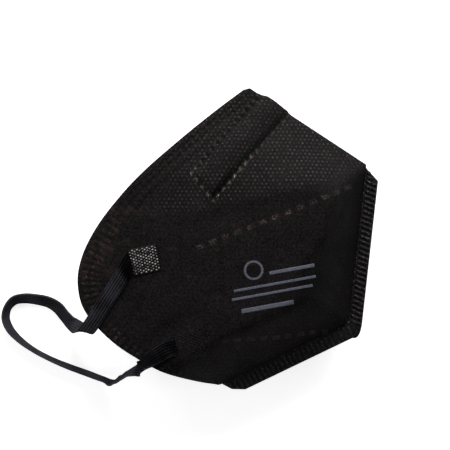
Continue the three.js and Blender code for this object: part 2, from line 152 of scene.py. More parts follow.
def facet_heights(x, y):
    """Heights of the nose, front and chin facets and of the dome over the flange's plane."""
    away, rise = from_line(FACETS["nose"], x, y)
    nose = np.sqrt(rise ** 2 + 2 * FOLD_RADIUS * away)
    front, chin = (FLANGE_STEP + from_line(FACETS[name], x, y)[1] for name in ("front", "chin"))
    dome = (DOME["height"] - ((x - DOME["x"]) / DOME["reach_x"]) ** 2
            - ((y - DOME["y"]) / DOME["reach_y"]) ** 2)
    return nose, front, chin, dome


def bulge(x, y):
    """Height of a side over the flange's plane, before dents and rest."""
    nose, front, chin, dome = facet_heights(x, y)
    height = soft_min(dome, nose, SOFT_CREASE)
    for facet in (front, chin):
        height = soft_min(height, facet, SOFT_CREASE)
    return height


dome_middle = [np.array(float(DOME[name])) for name in ("x", "y")]
print("dome top over the flange:", round(float(bulge(*dome_middle)), 1), "mm")

# %% Soft dents
DENTS = [  # middle x and y, turn in degrees, reach along and across, depth
    (8, 19, 18, 26, 5, 1.0),
    (-22, 20, 55, 12, 5, 0.7),
    (-46, -24, 62, 14, 5, 0.8),
    (-24, -36, 40, 14, 4, 0.9),
    (27, -14, 75, 16, 6, -0.7),
]


def dent_depth(x, y):
    """How deep the upper side's soft dents are."""
    total = np.zeros_like(x)
    for cx, cy, turn, long, wide, depth in DENTS:
        along, across = turned(x - cx, y - cy, turn)
        total += depth * np.exp(-(along / long) ** 2 - (across / wide) ** 2)
    return total


print("the dents are", round(float(dent_depth(*dome_middle)), 2), "mm deep at the dome's middle")

# %% [markdown]
# ## Where the mask rests
#
# The lower side lies on its own ear band. The band, its two welds and the end of the nose clip
# pocket lift the cloth by a millimetre or two, so the lower side is a little flatter there. Gravity
# in a cloth simulation could find that shape too. It is worked out here from the distance to what
# lies below, because that is the same each time and is what the CAD does.

# %% Routes and places under the mask
UPPER_PAD, LOWER_PAD = (-37.1, -8.1), (-14.6, -40.8)
LEFT_ROUTE = [
    (-43, -10), (-37.1, -8.1), (-28, -2.5), (-17, 8), (-4, 15.5), (11, 19), (26, 17.5),
    (37, 10.5), (41.5, -1), (38.5, -12.5), (28.5, -20.5), (14, -25), (1, -31.5), (-8, -37.4),
    (-14.6, -40.8), (-20.5, -42.7),
]
BAND_THICK, PAD_THICK, POCKET_THICK = 0.8, 0.8, 0.8
GAP, SEAT = 0.3, 0.5  # air between pieces, and how far a band or pocket sits off the cloth
POCKET_MIDDLE = [(-17, 25), (-9, 33)]
print("the left band's route has", len(LEFT_ROUTE), "places")

# %% Curves, ramps and distances
CHUNK = 4000  # places measured at a time, so that the table of gaps stays small


def smooth_curve(points, at):
    """A centripetal curve through points, read at row numbers from 0 to the last."""
    points = np.asarray(points, float)
    last = len(points) - 1
    at = np.clip(np.asarray(at, float), 0, last)
    k = np.minimum(at.astype(int), last - 1)
    w = (at - k)[:, None]
    more = np.vstack([2 * points[0] - points[1], points, 2 * points[-1] - points[-2]])
    p0, p1, p2, p3 = (more[k + i] for i in range(4))
    d0, d1, d2 = (np.maximum(np.linalg.norm(b - a, axis=1), 1e-9)[:, None] ** 0.5
                  for a, b in ((p0, p1), (p1, p2), (p2, p3)))
    t1 = ((p1 - p0) / d0 - (p2 - p0) / (d0 + d1) + (p2 - p1) / d1) * d1
    t2 = ((p2 - p1) / d1 - (p3 - p1) / (d1 + d2) + (p3 - p2) / d2) * d1
    c2 = -3 * p1 + 3 * p2 - 2 * t1 - t2
    c3 = 2 * p1 - 2 * p2 + t1 + t2
    return p1 + t1 * w + c2 * w ** 2 + c3 * w ** 3


def nearest(x, y, places):
    """Distance of each drawing point from the nearest of some places, and that place's number."""
    spots = np.stack([np.ravel(x), np.ravel(y)], axis=1)
    places = np.asarray(places, float)
    best, number = np.empty(len(spots)), np.empty(len(spots), int)
    for start in range(0, len(spots), CHUNK):
        part = spots[start:start + CHUNK]
        gaps = np.linalg.norm(part[:, None] - places[None], axis=2)
        number[start:start + CHUNK] = gaps.argmin(axis=1)
        best[start:start + CHUNK] = gaps.min(axis=1)
    return best.reshape(np.shape(x)), number.reshape(np.shape(x))


def smoothstep(low, high, value):
    """A smooth ramp from 0 at low to 1 at high."""
    t = np.clip((value - low) / (high - low), 0.0, 1.0)
    return t * t * (3 - 2 * t)


print("a quarter of the way up, a smooth ramp is at", smoothstep(0, 1, 0.25))

# %% Height of each side
SLOPE_STEP = 0.5  # half the stretch over which a slope is measured
left_lane = smooth_curve(LEFT_ROUTE, np.linspace(0, len(LEFT_ROUTE) - 1, 61))
LIFTERS = [  # height, how far it is full, how far it reaches, and the places it is measured from
    (BAND_THICK + GAP, 18, 29, left_lane),
    (BAND_THICK + PAD_THICK + 2 * GAP, 13, 25, [UPPER_PAD, LOWER_PAD]),
    (POCKET_THICK + SEAT, 13, 26, POCKET_MIDDLE),
]


def lift(x, y):
    """How far the things below lift the lower side off the surface."""
    highest = np.zeros_like(x)
    for height, near, far, places in LIFTERS:
        away, _ = nearest(x, y, places)
        highest = np.maximum(highest, height * (1 - smoothstep(near, far, away)))
    return highest


def upper_height(x, y):
    """Height of the right side over the surface, with its soft dents."""
    height = bulge(x, y)
    fade = np.minimum(height / DOME["height"], 1)
    return MID_HEIGHT + np.maximum(height - fade * dent_depth(x, y), 0)


def lower_height(x, y):
    """Height of the left side over the surface, where it rests on what lies below."""
    room = MID_HEIGHT - lift(x, y)
    return MID_HEIGHT - np.maximum(soft_min(bulge(x, y), room, REST_CREASE), 0)


SIDES = {"right": (upper_height, 1.0), "left": (lower_height, -1.0)}


def face_normal(side, x, y):
    """The direction straight out of a side's outer face."""
    height, up = SIDES[side]
    slopes = [(height(x + dx, y + dy) - height(x - dx, y - dy)) / (2 * SLOPE_STEP)
              for dx, dy in ((SLOPE_STEP, 0), (0, SLOPE_STEP))]
    normal = np.stack([-slopes[0], -slopes[1], np.ones_like(slopes[0])], axis=-1)
    return up * normal / np.linalg.norm(normal, axis=-1, keepdims=True)


def off_face(side, x, y, distance):
    """Drawing points that stand off a side's outer face by a distance."""
    x, y = np.asarray(x, float), np.asarray(y, float)
    base = np.stack([x, y, SIDES[side][0](x, y)], axis=-1)
    return base + face_normal(side, x, y) * np.asarray(distance)[..., None]


print("upper side at the dome:", round(float(upper_height(*dome_middle)), 1),
      "mm over the surface")

# %% [markdown]
# ## Building cloth from a grid
#
# Cloth is easiest to place as a grid of points. A grid is turned into faces here, with named UV
# maps that hold real distances in metres, so that a pattern such as a row of weld dashes can follow
# the cloth. A subdivided plane could be bent with modifiers instead, but then no row would run
# exactly along a fold. The thickness comes later, from a Solidify modifier that is then applied.

# %% Grid helpers
def point_numbers(shape, start=0):
    """The numbers of a grid's points in a mesh."""
    return start + np.arange(math.prod(shape)).reshape(shape)


def grid_faces(numbers):
    """A face for each cell of a grid of point numbers."""
    a, b = numbers[:-1, :-1], numbers[1:, :-1]
    c, d = numbers[1:, 1:], numbers[:-1, 1:]
    return np.stack([a, b, c, d], axis=-1).reshape(-1, 4)


def grid_normals(grid):
    """The direction straight out of a grid at each of its points."""
    normal = np.cross(np.gradient(grid, axis=0), np.gradient(grid, axis=1))
    size = np.linalg.norm(normal, axis=-1, keepdims=True)
    return normal / np.maximum(size, 1e-9)


def cloth_object(name, points_mm, faces, maps, values=None):
    """A mesh from drawing points and faces. Maps are UVs of the points, and values are floats."""
    mesh = bpy.data.meshes.new(name)
    mesh.from_pydata(to_model(points_mm).tolist(), [], faces.tolist())
    corner_points = np.zeros(len(mesh.loops), int)
    mesh.loops.foreach_get("vertex_index", corner_points)
    for map_name, places in maps.items():
        layer = mesh.uv_layers.new(name=map_name)
        layer.data.foreach_set("uv", (places[corner_points] * MM).astype(np.float32).ravel())
    for value_name, numbers in (values or {}).items():
        attribute = mesh.attributes.new(value_name, "FLOAT", "POINT")
        attribute.data.foreach_set("value", numbers.astype(np.float32).ravel())
    return link_object(name, mesh)


def grid_object(name, grid, map_name, places, values=None):
    """Cloth from one whole grid of drawing points, with one UV map."""
    return cloth_object(name, grid.reshape(-1, 3), grid_faces(point_numbers(grid.shape[:2])),
                        {map_name: places.reshape(-1, 2)}, values)


print("a grid of 3 by 3 points has", len(grid_faces(point_numbers((3, 3)))), "faces")

# %% Modifier helpers
def make_active(piece):
    """Selects one piece alone, for the operators that follow."""
    if bpy.context.object and bpy.context.object.mode != "OBJECT":
        bpy.ops.object.mode_set(mode="OBJECT")
    bpy.ops.object.select_all(action="DESELECT")
    if piece:
        piece.select_set(True)
        bpy.context.view_layer.objects.active = piece


def apply_modifier(piece, kind, **settings):
    """Adds a modifier to the active piece and makes it part of its mesh."""
    added = piece.modifiers.new(kind.lower(), kind)
    for key, value in settings.items():
        setattr(added, key, value)
    bpy.ops.object.modifier_apply(modifier=added.name)


def thicken(piece, millimetres, inner_slot=0):
    """Gives cloth its thickness, inward from its outer face, and smooth shading."""
    make_active(piece)
    apply_modifier(piece, "SOLIDIFY", thickness=millimetres * MM, offset=-1.0,
                   material_offset=inner_slot)
    bpy.ops.object.shade_smooth()
    piece.data.calc_loop_triangles()
    print(piece.name, "has", len(piece.data.loop_triangles), "triangles")


def block(u, v, half_u, half_v, soft):
    """1 inside a small block and 0 outside, with a soft edge."""
    return ((1 - smoothstep(half_u - soft, half_u + soft, np.abs(u)))
            * (1 - smoothstep(half_v - soft, half_v + soft, np.abs(v))))


print("a block is", block(0.0, 0.0, 1.0, 1.0, 0.1), "in its middle and",
      block(2.0, 0.0, 1.0, 1.0, 0.1), "outside")

# %% [markdown]
# ## The folded shell
#
# The real shell is one blank of five layers, folded along the nose. Rows of points run from the
# nose fold, or from the flange, to the open face edge. The rows lie close together, because the
# cloth shows rows of small weld dashes along its edge, two dashed lines across the cheek, and the
# puckers that the welds pull into it. A bump in the material alone would lose these at a grazing
# look.

# %% Rows of the shell
# Sections: distance round the fold and flange from the nose tip, then the face edge's x and y.
SECTIONS = np.array([
    (1, -4.2, 68.6), (10, -12.7, 60.2), (21, -22.4, 50.1), (33, -31.3, 40.5), (45, -39.9, 31.1),
    (54, -47.3, 21.9), (60.9, -53.4, 12.9), (69, -57.6, 5.8), (80, -61, -1.5), (93, -63.6, -9.5),
    (106, -64.5, -18), (118, -63, -26), (129.6, -60, -32), (138, -54.7, -37.7),
    (147, -45.5, -44.5), (156, -36, -49.3), (165, -26, -53.4), (174, -16.5, -56),
    (182, -7.5, -57.7), (189, -0.8, -58.4),
])
CORNER_SECTION, CHIN_SECTION = 6, 12
ROWS = {"nose": 96, "front": 108, "chin": 96}
CLOTH = 1.3  # thickness of the five layers


def arc_lengths(points):
    """Distance travelled along a line of points, from its start to each of them."""
    steps = np.linalg.norm(np.diff(points, axis=0), axis=1)
    return np.concatenate([[0], np.cumsum(steps)])


def even_rows(first, last, count):
    """Section numbers, evenly spread by the mean of ridge and edge distance."""
    fine = np.linspace(first, last, 600)
    travelled = arc_lengths(smooth_curve(SECTIONS[:, [1, 2, 0]], fine))
    return np.interp(np.linspace(0, travelled[-1], count + 1), travelled, fine)


row_numbers = np.concatenate([
    even_rows(0, CORNER_SECTION, ROWS["nose"]),
    even_rows(CORNER_SECTION, CHIN_SECTION, ROWS["front"])[1:],
    even_rows(CHIN_SECTION, len(SECTIONS) - 1, ROWS["chin"])[1:],
])
row_table = smooth_curve(SECTIONS[:, [1, 2, 0]], row_numbers)
edge_points, ridge_along = row_table[:, :2], row_table[:, 2]
corners = np.array([NOSE_TIP, NOSE_END, FRONT_END, CHIN_TIP])
corner_along = arc_lengths(corners)
ridge_points = np.stack([np.interp(ridge_along, corner_along, corners[:, k]) for k in (0, 1)],
                        axis=1)
edge_line = smooth_curve(SECTIONS[:, [1, 2]], np.linspace(0, len(SECTIONS) - 1, 1600))
edge_arc = arc_lengths(edge_line)
print(len(row_numbers), "rows; the face edge of one side is", round(edge_arc[-1], 1), "mm long")

# %% [markdown]
# ### Where the small things of the cloth are
#
# The weld dashes follow the face edge, and the blocks of the cheek lines follow two straight lines.
# So each place of the cloth needs its distance along and across both. These distances also go into
# UV maps, so that the relief of the mesh and the colour of the material agree.

# %% Places along the edge, the cheek lines and the crease
DASH_PITCH = 2.95
DASH_ROWS = (3.2, 6.5)  # how far the two rows of dashes are from the face edge
CREASE = np.array([(34.0, -30.0), (29.3, -17.7), (28.9, -3.0), (36.6, 10.4), (49.5, 34.1)])
STREAKS = (2.9, 5.0, 8.6)  # long creases beside the dashes, where the edge runs up to the nose
CHEEK_LINES = [  # start, end and number of blocks of the dashed lines across the cheek
    ((-14.7, 0.2), (44.6, 31.8), 13),
    ((0.1, -38.4), (42.3, -30.7), 9),
]


def edge_places(x, y):
    """Distance along the face edge and from it. The margin is narrower towards the chin."""
    away, number = nearest(x, y, edge_line)
    along = edge_arc[number]
    narrow = np.interp(along, [0, 118, 140, 165, 200], [1, 1, 0.72, 0.55, 0.5])
    return along, away / narrow


def line_places(x, y):
    """Place along and across the nearer dashed line, with block middles at whole numbers."""
    best_u, best_v = np.full_like(x, 99.0), np.full_like(x, 99.0)
    for (x0, y0), (x1, y1), count in CHEEK_LINES:
        length = math.hypot(x1 - x0, y1 - y0)
        c, s = (x1 - x0) / length, (y1 - y0) / length
        along = ((x - x0) * c + (y - y0) * s) * (count - 1) / length
        across = (y - y0) * c - (x - x0) * s
        beside = (along > -0.6) & (along < count - 0.4)
        closer = beside & (np.abs(across) < np.abs(best_v))
        best_u = np.where(closer, along, best_u)
        best_v = np.where(closer, across, best_v)
    return best_u, best_v


def past_crease(x, y):
    """How far a place is past the slanting crease, towards the front."""
    return x - np.interp(y, CREASE[:, 1], CREASE[:, 0])


print("weld dashes every", DASH_PITCH, "mm in rows", DASH_ROWS, "mm from the edge")

# %% [markdown]
# ### Small reliefs of the cloth
#
# A weld presses a dash into the cloth and pulls a pucker up beside it. The rim is rolled thin, a
# few long creases run beside the dashes, and the cloth between them swells a little. Noise could
# give the swell, but a few fixed waves are the same each time and keep their size in millimetres.

# %% Relief of the shell
RIM_DROP, STREAK_DEEP, CREASE_DEEP = 0.25, 0.3, 0.5  # depths and heights, in millimetres
PUCKER_HIGH, DASH_DEEP = 0.13, 0.28
GROOVE_DEEP, BLOCK_DEEP = 0.16, 0.12
SWELL = [  # length of a wave, its direction, its phase and its height
    (31, 20, 0.4, 0.16), (23, 75, 2.1, 0.12), (17, 130, 4.0, 0.08), (11, 48, 1.3, 0.05),
]


def waves(x, y):
    """A slow, uneven swell of the cloth, from a few fixed waves."""
    total = np.zeros_like(x)
    for reach, turn, phase, height in SWELL:
        total += height * np.sin(turned(x, y, turn)[0] * 2 * math.pi / reach + phase)
    return total


def shell_relief(x, y):
    """How far the cloth stands out from its plain form, in millimetres."""
    along, away = edge_places(x, y)
    phase = (along / DASH_PITCH) % 1 - 0.5
    fade = 1 - smoothstep(168, 180, along)
    pressed = sum(block(phase * DASH_PITCH, away - row, 0.6, 1.2, 0.35) for row in DASH_ROWS)
    pucker = -np.cos(phase * 2 * math.pi) * smoothstep(1.5, 3.0, away)
    pucker *= 1 - smoothstep(8.0, 15.0, away)
    rim = 1 - smoothstep(0.0, 2.0, away)
    u, v = line_places(x, y)
    blocks = block((u + 0.5) % 1 - 0.5, v, 0.3, 1.1, 0.08)
    groove = np.exp(-(v / 2.6) ** 2)
    streaks = sum(np.exp(-((away - at) / 0.6) ** 2) for at in STREAKS)
    crease = np.exp(-(past_crease(x, y) / 1.6) ** 2) * smoothstep(-24, -8, y)
    sharp = smoothstep(55, 90, along)  # the dashes are clear beside the cheek only
    return (waves(x, y) * smoothstep(0, 12, away) - RIM_DROP * rim
            - STREAK_DEEP * streaks * (1 - sharp)
            + fade * (PUCKER_HIGH * pucker - DASH_DEEP * pressed) * (0.35 + 0.65 * sharp)
            - GROOVE_DEEP * groove - BLOCK_DEEP * blocks - CREASE_DEEP * crease)


relief_at_dome = float(shell_relief(*dome_middle))
print("relief at the dome's middle:", round(relief_at_dome, 2), "mm")

# %% [markdown]
# ### How clear the dots are, and where the cloth is drawn tight
#
# The bonded dots are painted brighter, as painted highlights, on the facet by the nose, which faces
# the lamp, and they nearly vanish below it. The front and chin facets, which face away from the lamp,
# and the creases get painted shade. Both follow the form of the mask, so they are worked out from its
# facets and kept as attributes of the points.

# %% Painted gleam of the dots and painted shade of the cloth
LIT_FACET_LINE = np.array([(-60, 4), (-40, 10), (-24, 14), (-11.2, 17.6), (-0.3, 20.9), (11.9, 24.8),
                       (24, 29.1), (36.3, 34.1), (44.8, 38.4), (52, 42.8)])
CREASE_TOP = 34  # the slanting crease ends at this y


def gleam_on_lit_facet(x, y):
    """Painted gleam of the bond dots: on the nose facet that faces the lamp, and little below it."""
    nose, front, _, _ = facet_heights(x, y)
    crease_at = np.interp(x, LIT_FACET_LINE[:, 0], LIT_FACET_LINE[:, 1])
    above = smoothstep(-2.5, 2.0, y - crease_at) * smoothstep(-3.0, 3.0, front - nose)
    near_edge = smoothstep(4.0, 24.0, edge_places(x, y)[1])
    front_fade = 1 - 0.55 * smoothstep(30, 46, x)
    return 0.1 + 0.9 * above * front_fade * (0.7 + 0.3 * near_edge) * smoothstep(-50, -20, x)


def painted_shade_share(x, y):
    """Painted shade on the front and chin facets, which face away from the lamp, and in the creases.
    """
    nose, front, chin, dome = facet_heights(x, y)
    open_part = np.minimum(dome, nose)
    along, away = edge_places(x, y)
    streaks = sum(np.exp(-((away - at) / 0.7) ** 2) for at in STREAKS)
    streaks *= 0.62 + 0.38 * np.cos(along * 2 * math.pi / DASH_PITCH)
    streaks *= 1 - smoothstep(62, 84, along)
    past, below_top = past_crease(x, y), y < CREASE_TOP
    over_front = smoothstep(-5.0, 5.0, open_part - front) * (0.5 + 0.5 * smoothstep(-28, -8, y))
    in_crease = np.exp(-((past - 0.6) / 1.7) ** 2) * smoothstep(-22, -4, y) * below_top
    return np.maximum.reduce([0.9 * over_front, 0.15 * smoothstep(-5.0, 9.0, open_part - chin),
                              0.85 * streaks, 0.35 * smoothstep(-1.5, 3.0, past) * below_top,
                              0.95 * in_crease])


print("dots are", round(float(gleam_on_lit_facet(*dome_middle)), 2), "clear at the dome's middle")

# %% [markdown]
# ### Points and faces of the shell
#
# The two sides share the points of the nose fold, so that the blank is folded there and not cut.
# The right side lies on top and gets twice as many columns as the hidden left side.

# %% Points and faces of the shell
COLUMNS = {"right": (96, 26), "left": (46, 14)}  # in all, and how many of them near the edge
NEAR_EDGE = 0.86  # share of the way from the ridge where the close columns start


def column_shares(count, near_edge):
    """Shares from ridge to edge: close at the ridge, and about half a millimetre at the edge."""
    inner = np.linspace(0, 1, count - near_edge) ** 1.35 * NEAR_EDGE
    outer = np.linspace(NEAR_EDGE, 1, near_edge + 1)[1:]
    return np.concatenate([inner, outer])


def side_grid(side, shares):
    """The drawing points of one side, and their plain x and y."""
    x, y = (ridge_points[:, None, k] + (edge_points - ridge_points)[:, None, k] * shares
            for k in (0, 1))
    away_from_ridge = np.linalg.norm(np.stack([x, y], -1) - ridge_points[:, None], axis=-1)
    grid = off_face(side, x, y, shell_relief(x, y) * smoothstep(0.0, 6.0, away_from_ridge))
    fold = grid[:ROWS["nose"] + 1, 0]
    fold[:, :2] = ridge_points[:ROWS["nose"] + 1]
    fold[:, 2] = MID_HEIGHT
    return grid, np.stack([x, y], axis=-1)


grids, plans = {}, {}
for side, columns in COLUMNS.items():
    grids[side], plans[side] = side_grid(side, column_shares(*columns))
right_ids = point_numbers(grids["right"].shape[:2])
left_ids = point_numbers(grids["left"].shape[:2], start=right_ids.size)
left_ids[:ROWS["nose"] + 1, 0] = right_ids[:ROWS["nose"] + 1, 0]  # the fold is shared
shell_faces = np.concatenate([grid_faces(right_ids[:, ::-1]), grid_faces(left_ids)])
shell_points = np.concatenate([grids[side].reshape(-1, 3) for side in COLUMNS])
plan = np.concatenate([plans[side].reshape(-1, 2) for side in COLUMNS])
used = np.unique(shell_faces)
renumber = np.zeros(len(shell_points), int)
renumber[used] = np.arange(len(used))
shell_points, shell_faces, plan = shell_points[used], renumber[shell_faces], plan[used]
plan_x, plan_y = plan[:, 0], plan[:, 1]
mask_cloth = cloth_object("mask_cloth", shell_points, shell_faces,
                          {"cloth": plan,
                           "edge": np.stack(edge_places(plan_x, plan_y), axis=1),
                           "line": np.stack(line_places(plan_x, plan_y), axis=1)},
                          {"painted_gleam": gleam_on_lit_facet(plan_x, plan_y),
                           "painted_shade": painted_shade_share(plan_x, plan_y)})
print("shell grid:", grids["right"].shape[:2], "and", grids["left"].shape[:2], "points")

# %% Thickness of the shell
for _ in ("outside", "inside"):
    mask_cloth.data.materials.append(None)
thicken(mask_cloth, CLOTH, inner_slot=1)

# %% [markdown]
# ## The nose clip pocket
#
# A strip of the same cloth is welded over the nose fold, with a flat wire inside it. Its front and
# back lines and its end are rows of small round welds. Between them the strip stands proud, and it
# falls away to its back line. Its rim dips into the shell, so that both read as one cloth. The
# strip is laid as its own sheet on the shell's surface, because the shell's grid would be too
# coarse for its welds.

# %% Size of the nose clip pocket
POCKET_END = ((-11.5, 19.1), (-22.4, 30.1))  # front and back corner of the end
POCKET_FOLD = ((17.0, 60.53), (2.6, 67.82))  # front and back corner at the nose fold
POCKET_WIDE, POCKET_LONG = 15.6, 50.0
POCKET_SKIRT = 1.2  # how far its cloth runs on past its lines of welds
POCKET_RIM = {"right": 0.2, "left": 0.08}  # how far the welded rim stands off the shell
RIM_DIP, WELD_DIP, LOW_SHARE = 0.45, 0.15, 0.5
DOT_PITCH, END_PITCH, WELD_SPOT = 3.5, 3.9, 0.72


def pocket_body(side, a, e):
    """Height of the pocket's stuffed part, from the places across and along it."""
    from_fold = POCKET_LONG - e
    slope = smoothstep(6.0, 16.0, e)
    body = ((1.0 + 0.5 * (1 - slope)) * smoothstep(0.3, 2.3, a)
            + slope * smoothstep(2.0, 9.0, a)
            - (1.5 + 0.5 * slope) * smoothstep(POCKET_WIDE - 4.2, POCKET_WIDE - 0.4, a))
    if side == "left":  # the hidden half is laid low, so that the mask can rest on it
        body = body * np.where(from_fold < 9, 1.0 - from_fold * 0.055, LOW_SHARE)
    return body * smoothstep(0.3, 3.0, e) * (1 - 0.45 * smoothstep(38, 50, e))


def pocket_welds(a, e, outside):
    """1 on the round welds of the pocket's two long lines and of its end."""
    dots = np.zeros_like(a)
    # The front welds fade towards the fold, where the ridge shades them: painted shade.
    out_of_ridge_shade = 1 - 0.85 * smoothstep(20, 30, e)
    near_end = 1 - 0.9 * smoothstep(1, 6, e)
    for along, off_line, pitch, clear in ((e, a, DOT_PITCH, out_of_ridge_shade),
                                          (e, POCKET_WIDE - a, DOT_PITCH, near_end),
                                          (a, e, END_PITCH, np.ones_like(a))):
        near = ((along / pitch + 0.5) % 1 - 0.5) * pitch
        spot = np.exp(-(near ** 2 + (off_line - 0.1) ** 2) / WELD_SPOT ** 2)
        dots = np.maximum(dots, clear * spot)
    return dots * (outside < 0.9)


def pocket_painted_shade_share(a, e):
    """1 for painted shade: in the groove behind the strip's front line, on its slope, and at its back
    welds.
    """
    slope = smoothstep(6.0, 16.0, e)
    groove = smoothstep(0.5, 1.1, a) * (1 - smoothstep(2.6, 4.4, a)) * smoothstep(1.0, 3.0, e)
    wide_groove = 0.4 * slope * smoothstep(0.6, 1.4, a) * (1 - smoothstep(5.5, 9.0, a))
    at_back = 1 - smoothstep(0.8, 1.6, np.abs(a - POCKET_WIDE + 0.6))
    pressed = at_back * (np.cos(e * 2 * math.pi / DOT_PITCH) < 0.2) * smoothstep(3.0, 6.0, e)
    return np.maximum.reduce([groove, wide_groove, 0.9 * pressed])


print("pocket:", 2 * POCKET_LONG, "mm long over the fold and", POCKET_WIDE, "mm wide")

# %% Nose clip pocket
def pocket_side(side, share, across):
    """One side's base grid, height over it, plain x and y, and values of its points."""
    s, t = np.meshgrid(share, across, indexing="ij")
    front, back = ([POCKET_END[i][k] + (POCKET_FOLD[i][k] - POCKET_END[i][k]) * s for k in (0, 1)]
                   for i in (0, 1))
    x, y = (front[k] + (back[k] - front[k]) * t for k in (0, 1))
    a, e = t * POCKET_WIDE, s * POCKET_LONG
    grid = off_face(side, x, y, shell_relief(x, y) * smoothstep(0.0, 6.0, (1 - s) * POCKET_LONG))
    at_fold = s >= 1 - 1e-9
    grid[at_fold] = np.stack([x, y, np.full_like(x, MID_HEIGHT)], axis=-1)[at_fold]
    outside = np.maximum.reduce([-a, a - POCKET_WIDE, -e, np.zeros_like(a)])
    dots = pocket_welds(a, e, outside)
    rim = POCKET_RIM[side]
    height = (rim + pocket_body(side, a, e) - (RIM_DIP + rim) * outside / POCKET_SKIRT
              - WELD_DIP * dots)
    return grid, height, np.stack([x, y], -1), dots, pocket_painted_shade_share(a, e)


along_share = 1 - np.linspace(1, 0, 110) ** 1.25 * (1 + POCKET_SKIRT / POCKET_LONG)
across_share = np.linspace(-POCKET_SKIRT / POCKET_WIDE, 1 + POCKET_SKIRT / POCKET_WIDE, 44)
halves = [pocket_side("right", along_share, across_share),
          pocket_side("left", along_share[::-1][1:], across_share)]
pocket_base, pocket_height, pocket_plan, pocket_dots, pocket_painted_shade = (
    np.concatenate(parts) for parts in zip(*halves))
pocket_grid = pocket_base + grid_normals(pocket_base) * pocket_height[..., None]
# Painted gleam of the pocket's dots, a little weaker towards the nose tip.
pocket_painted_gleam = 1.0 - 0.25 * smoothstep(28, 40, pocket_plan[..., 1])
nose_pocket = grid_object("nose_pocket", pocket_grid, "cloth", pocket_plan,
                          {"weld": pocket_dots, "painted_shade": pocket_painted_shade, "painted_gleam": pocket_painted_gleam})
thicken(nose_pocket, POCKET_THICK)

# %% [markdown]
# ## The ear bands
#
# Each ear loop is one flat knitted band. Its ends lie under the square welds. The right one runs
# over the edge of the mask, folds, and lies spread on the surface, partly on its narrow side. The
# left one lies flat under the mask. A curve with a flat bevel would twist at the fold, so a band is
# a strip of cloth here that follows a table of places, each with its turn and its lean.

# %% Route of the right band
BAND_WIDTH = 6.6
# x, y, "over" the cloth or "rise" of its lower edge over the surface, value, turn and lean.
RIGHT_ROUTE = [
    (-43, -10, "over", 0, -72, 0), (-46.8, -18.2, "over", 0, -36, 0),
    (-50.8, -26.2, "over", 0, -26, 0), (-54, -33, "over", 0, -24, 0),
    (-56.6, -38.2, "over", 0.4, -22, 0), (-58.8, -41, "rise", 42, -14, 0),
    (-60.2, -41.8, "rise", 31, 2, 0), (-61.8, -41.9, "rise", 20, 24, 0),
    (-64.2, -41.6, "rise", 9, 48, 8), (-67.4, -40.4, "rise", 2, 60, 26),
    (-71, -37.2, "rise", 0.3, 54, 38), (-74.4, -34, "rise", 0.2, 56, 38),
    (-78.6, -32, "rise", 0.2, 76, 42), (-84, -31.3, "rise", 0.2, 90, 46),
    (-89.6, -31.4, "rise", 0.2, 98, 50), (-94, -32.8, "rise", 0.2, 122, 56),
    (-96.7, -36.4, "rise", 0.2, 158, 66), (-97.1, -41.2, "rise", 0.2, 186, 66),
    (-94.8, -45.8, "rise", 0.2, 212, 68), (-90.2, -50, "rise", 0.2, 230, 74),
    (-83.1, -54.1, "rise", 0.2, 243, 80), (-75.3, -57.2, "rise", 0.2, 250, 80),
    (-67.7, -59.5, "rise", 0.2, 254, 77), (-58.6, -61.7, "rise", 0.2, 256, 75),
    (-52, -63.3, "rise", 0.9, 260, 77), (-47.4, -64, "rise", 3.5, 276, 82),
    (-44.3, -62.2, "rise", 9, 302, 86), (-41.2, -59.4, "rise", 18.5, 314, 87),
    (-37.8, -56.2, "rise", 31, 317, 87), (-35, -53.8, "rise", 43.4, 318, 80),
    (-33.3, -52.4, "rise", 50.8, 318, 62), (-30.1, -49.2, "over", 0.5, 316, 24),
    (-26.8, -46.4, "over", 0, 312, 0), (-23.8, -44.2, "over", 0, 302, 0),
    (-20.5, -42.7, "over", 0, 288, 0),
]


def across_of(turn, lean):
    """The direction across a band, from its turn on the surface and its lean."""
    turn, lean = np.radians(turn), np.radians(lean)
    flat = np.cos(lean)
    return np.stack([flat * np.cos(turn), flat * np.sin(turn), np.sin(lean)], axis=-1)


def seat_of(along, across):
    """The outer face is a band's thickness higher where it looks up."""
    looks_up = along[..., 0] * across[..., 1] > along[..., 1] * across[..., 0]
    return SEAT + np.where(looks_up, BAND_THICK, 0.0)


def tangents(points):
    """The direction along a line of points, at each of them."""
    along = np.gradient(points, axis=0)
    return along / np.linalg.norm(along, axis=1, keepdims=True)


print("right band:", len(RIGHT_ROUTE), "places in its table")

# %% Strip of knitted band
BAND_STEPS, BAND_COLUMNS, LEFT_COLUMNS = 10, 34, 18
WALES = 6  # ribs across the band, drawn a little coarser than the real ones so that they show
RIB_HEIGHT, SELVAGE_DROP = 0.12, 0.25


def band_ribs(across):
    """Ribs that run along a knitted band, with a round selvage on both sides."""
    rib = RIB_HEIGHT * np.abs(np.cos(across * math.pi * WALES / 2))
    return rib - SELVAGE_DROP * smoothstep(0.86, 1.0, np.abs(across))


def band_object(name, centre, grid, across):
    """A band from its outer grid, with a map along and across it, its path and its length."""
    travelled = arc_lengths(centre)
    places = np.stack(np.meshgrid(travelled, across * BAND_WIDTH / 2, indexing="ij"), -1)
    raised = grid + grid_normals(grid) * band_ribs(across)[None, :, None]
    piece = grid_object(name, raised, "band", places)
    thicken(piece, BAND_THICK)
    print(name, "is", round(travelled[-1]), "mm long")
    return piece, grid[:, len(across) // 2], travelled[-1]


print("a rib every", BAND_WIDTH / WALES, "mm across the band")

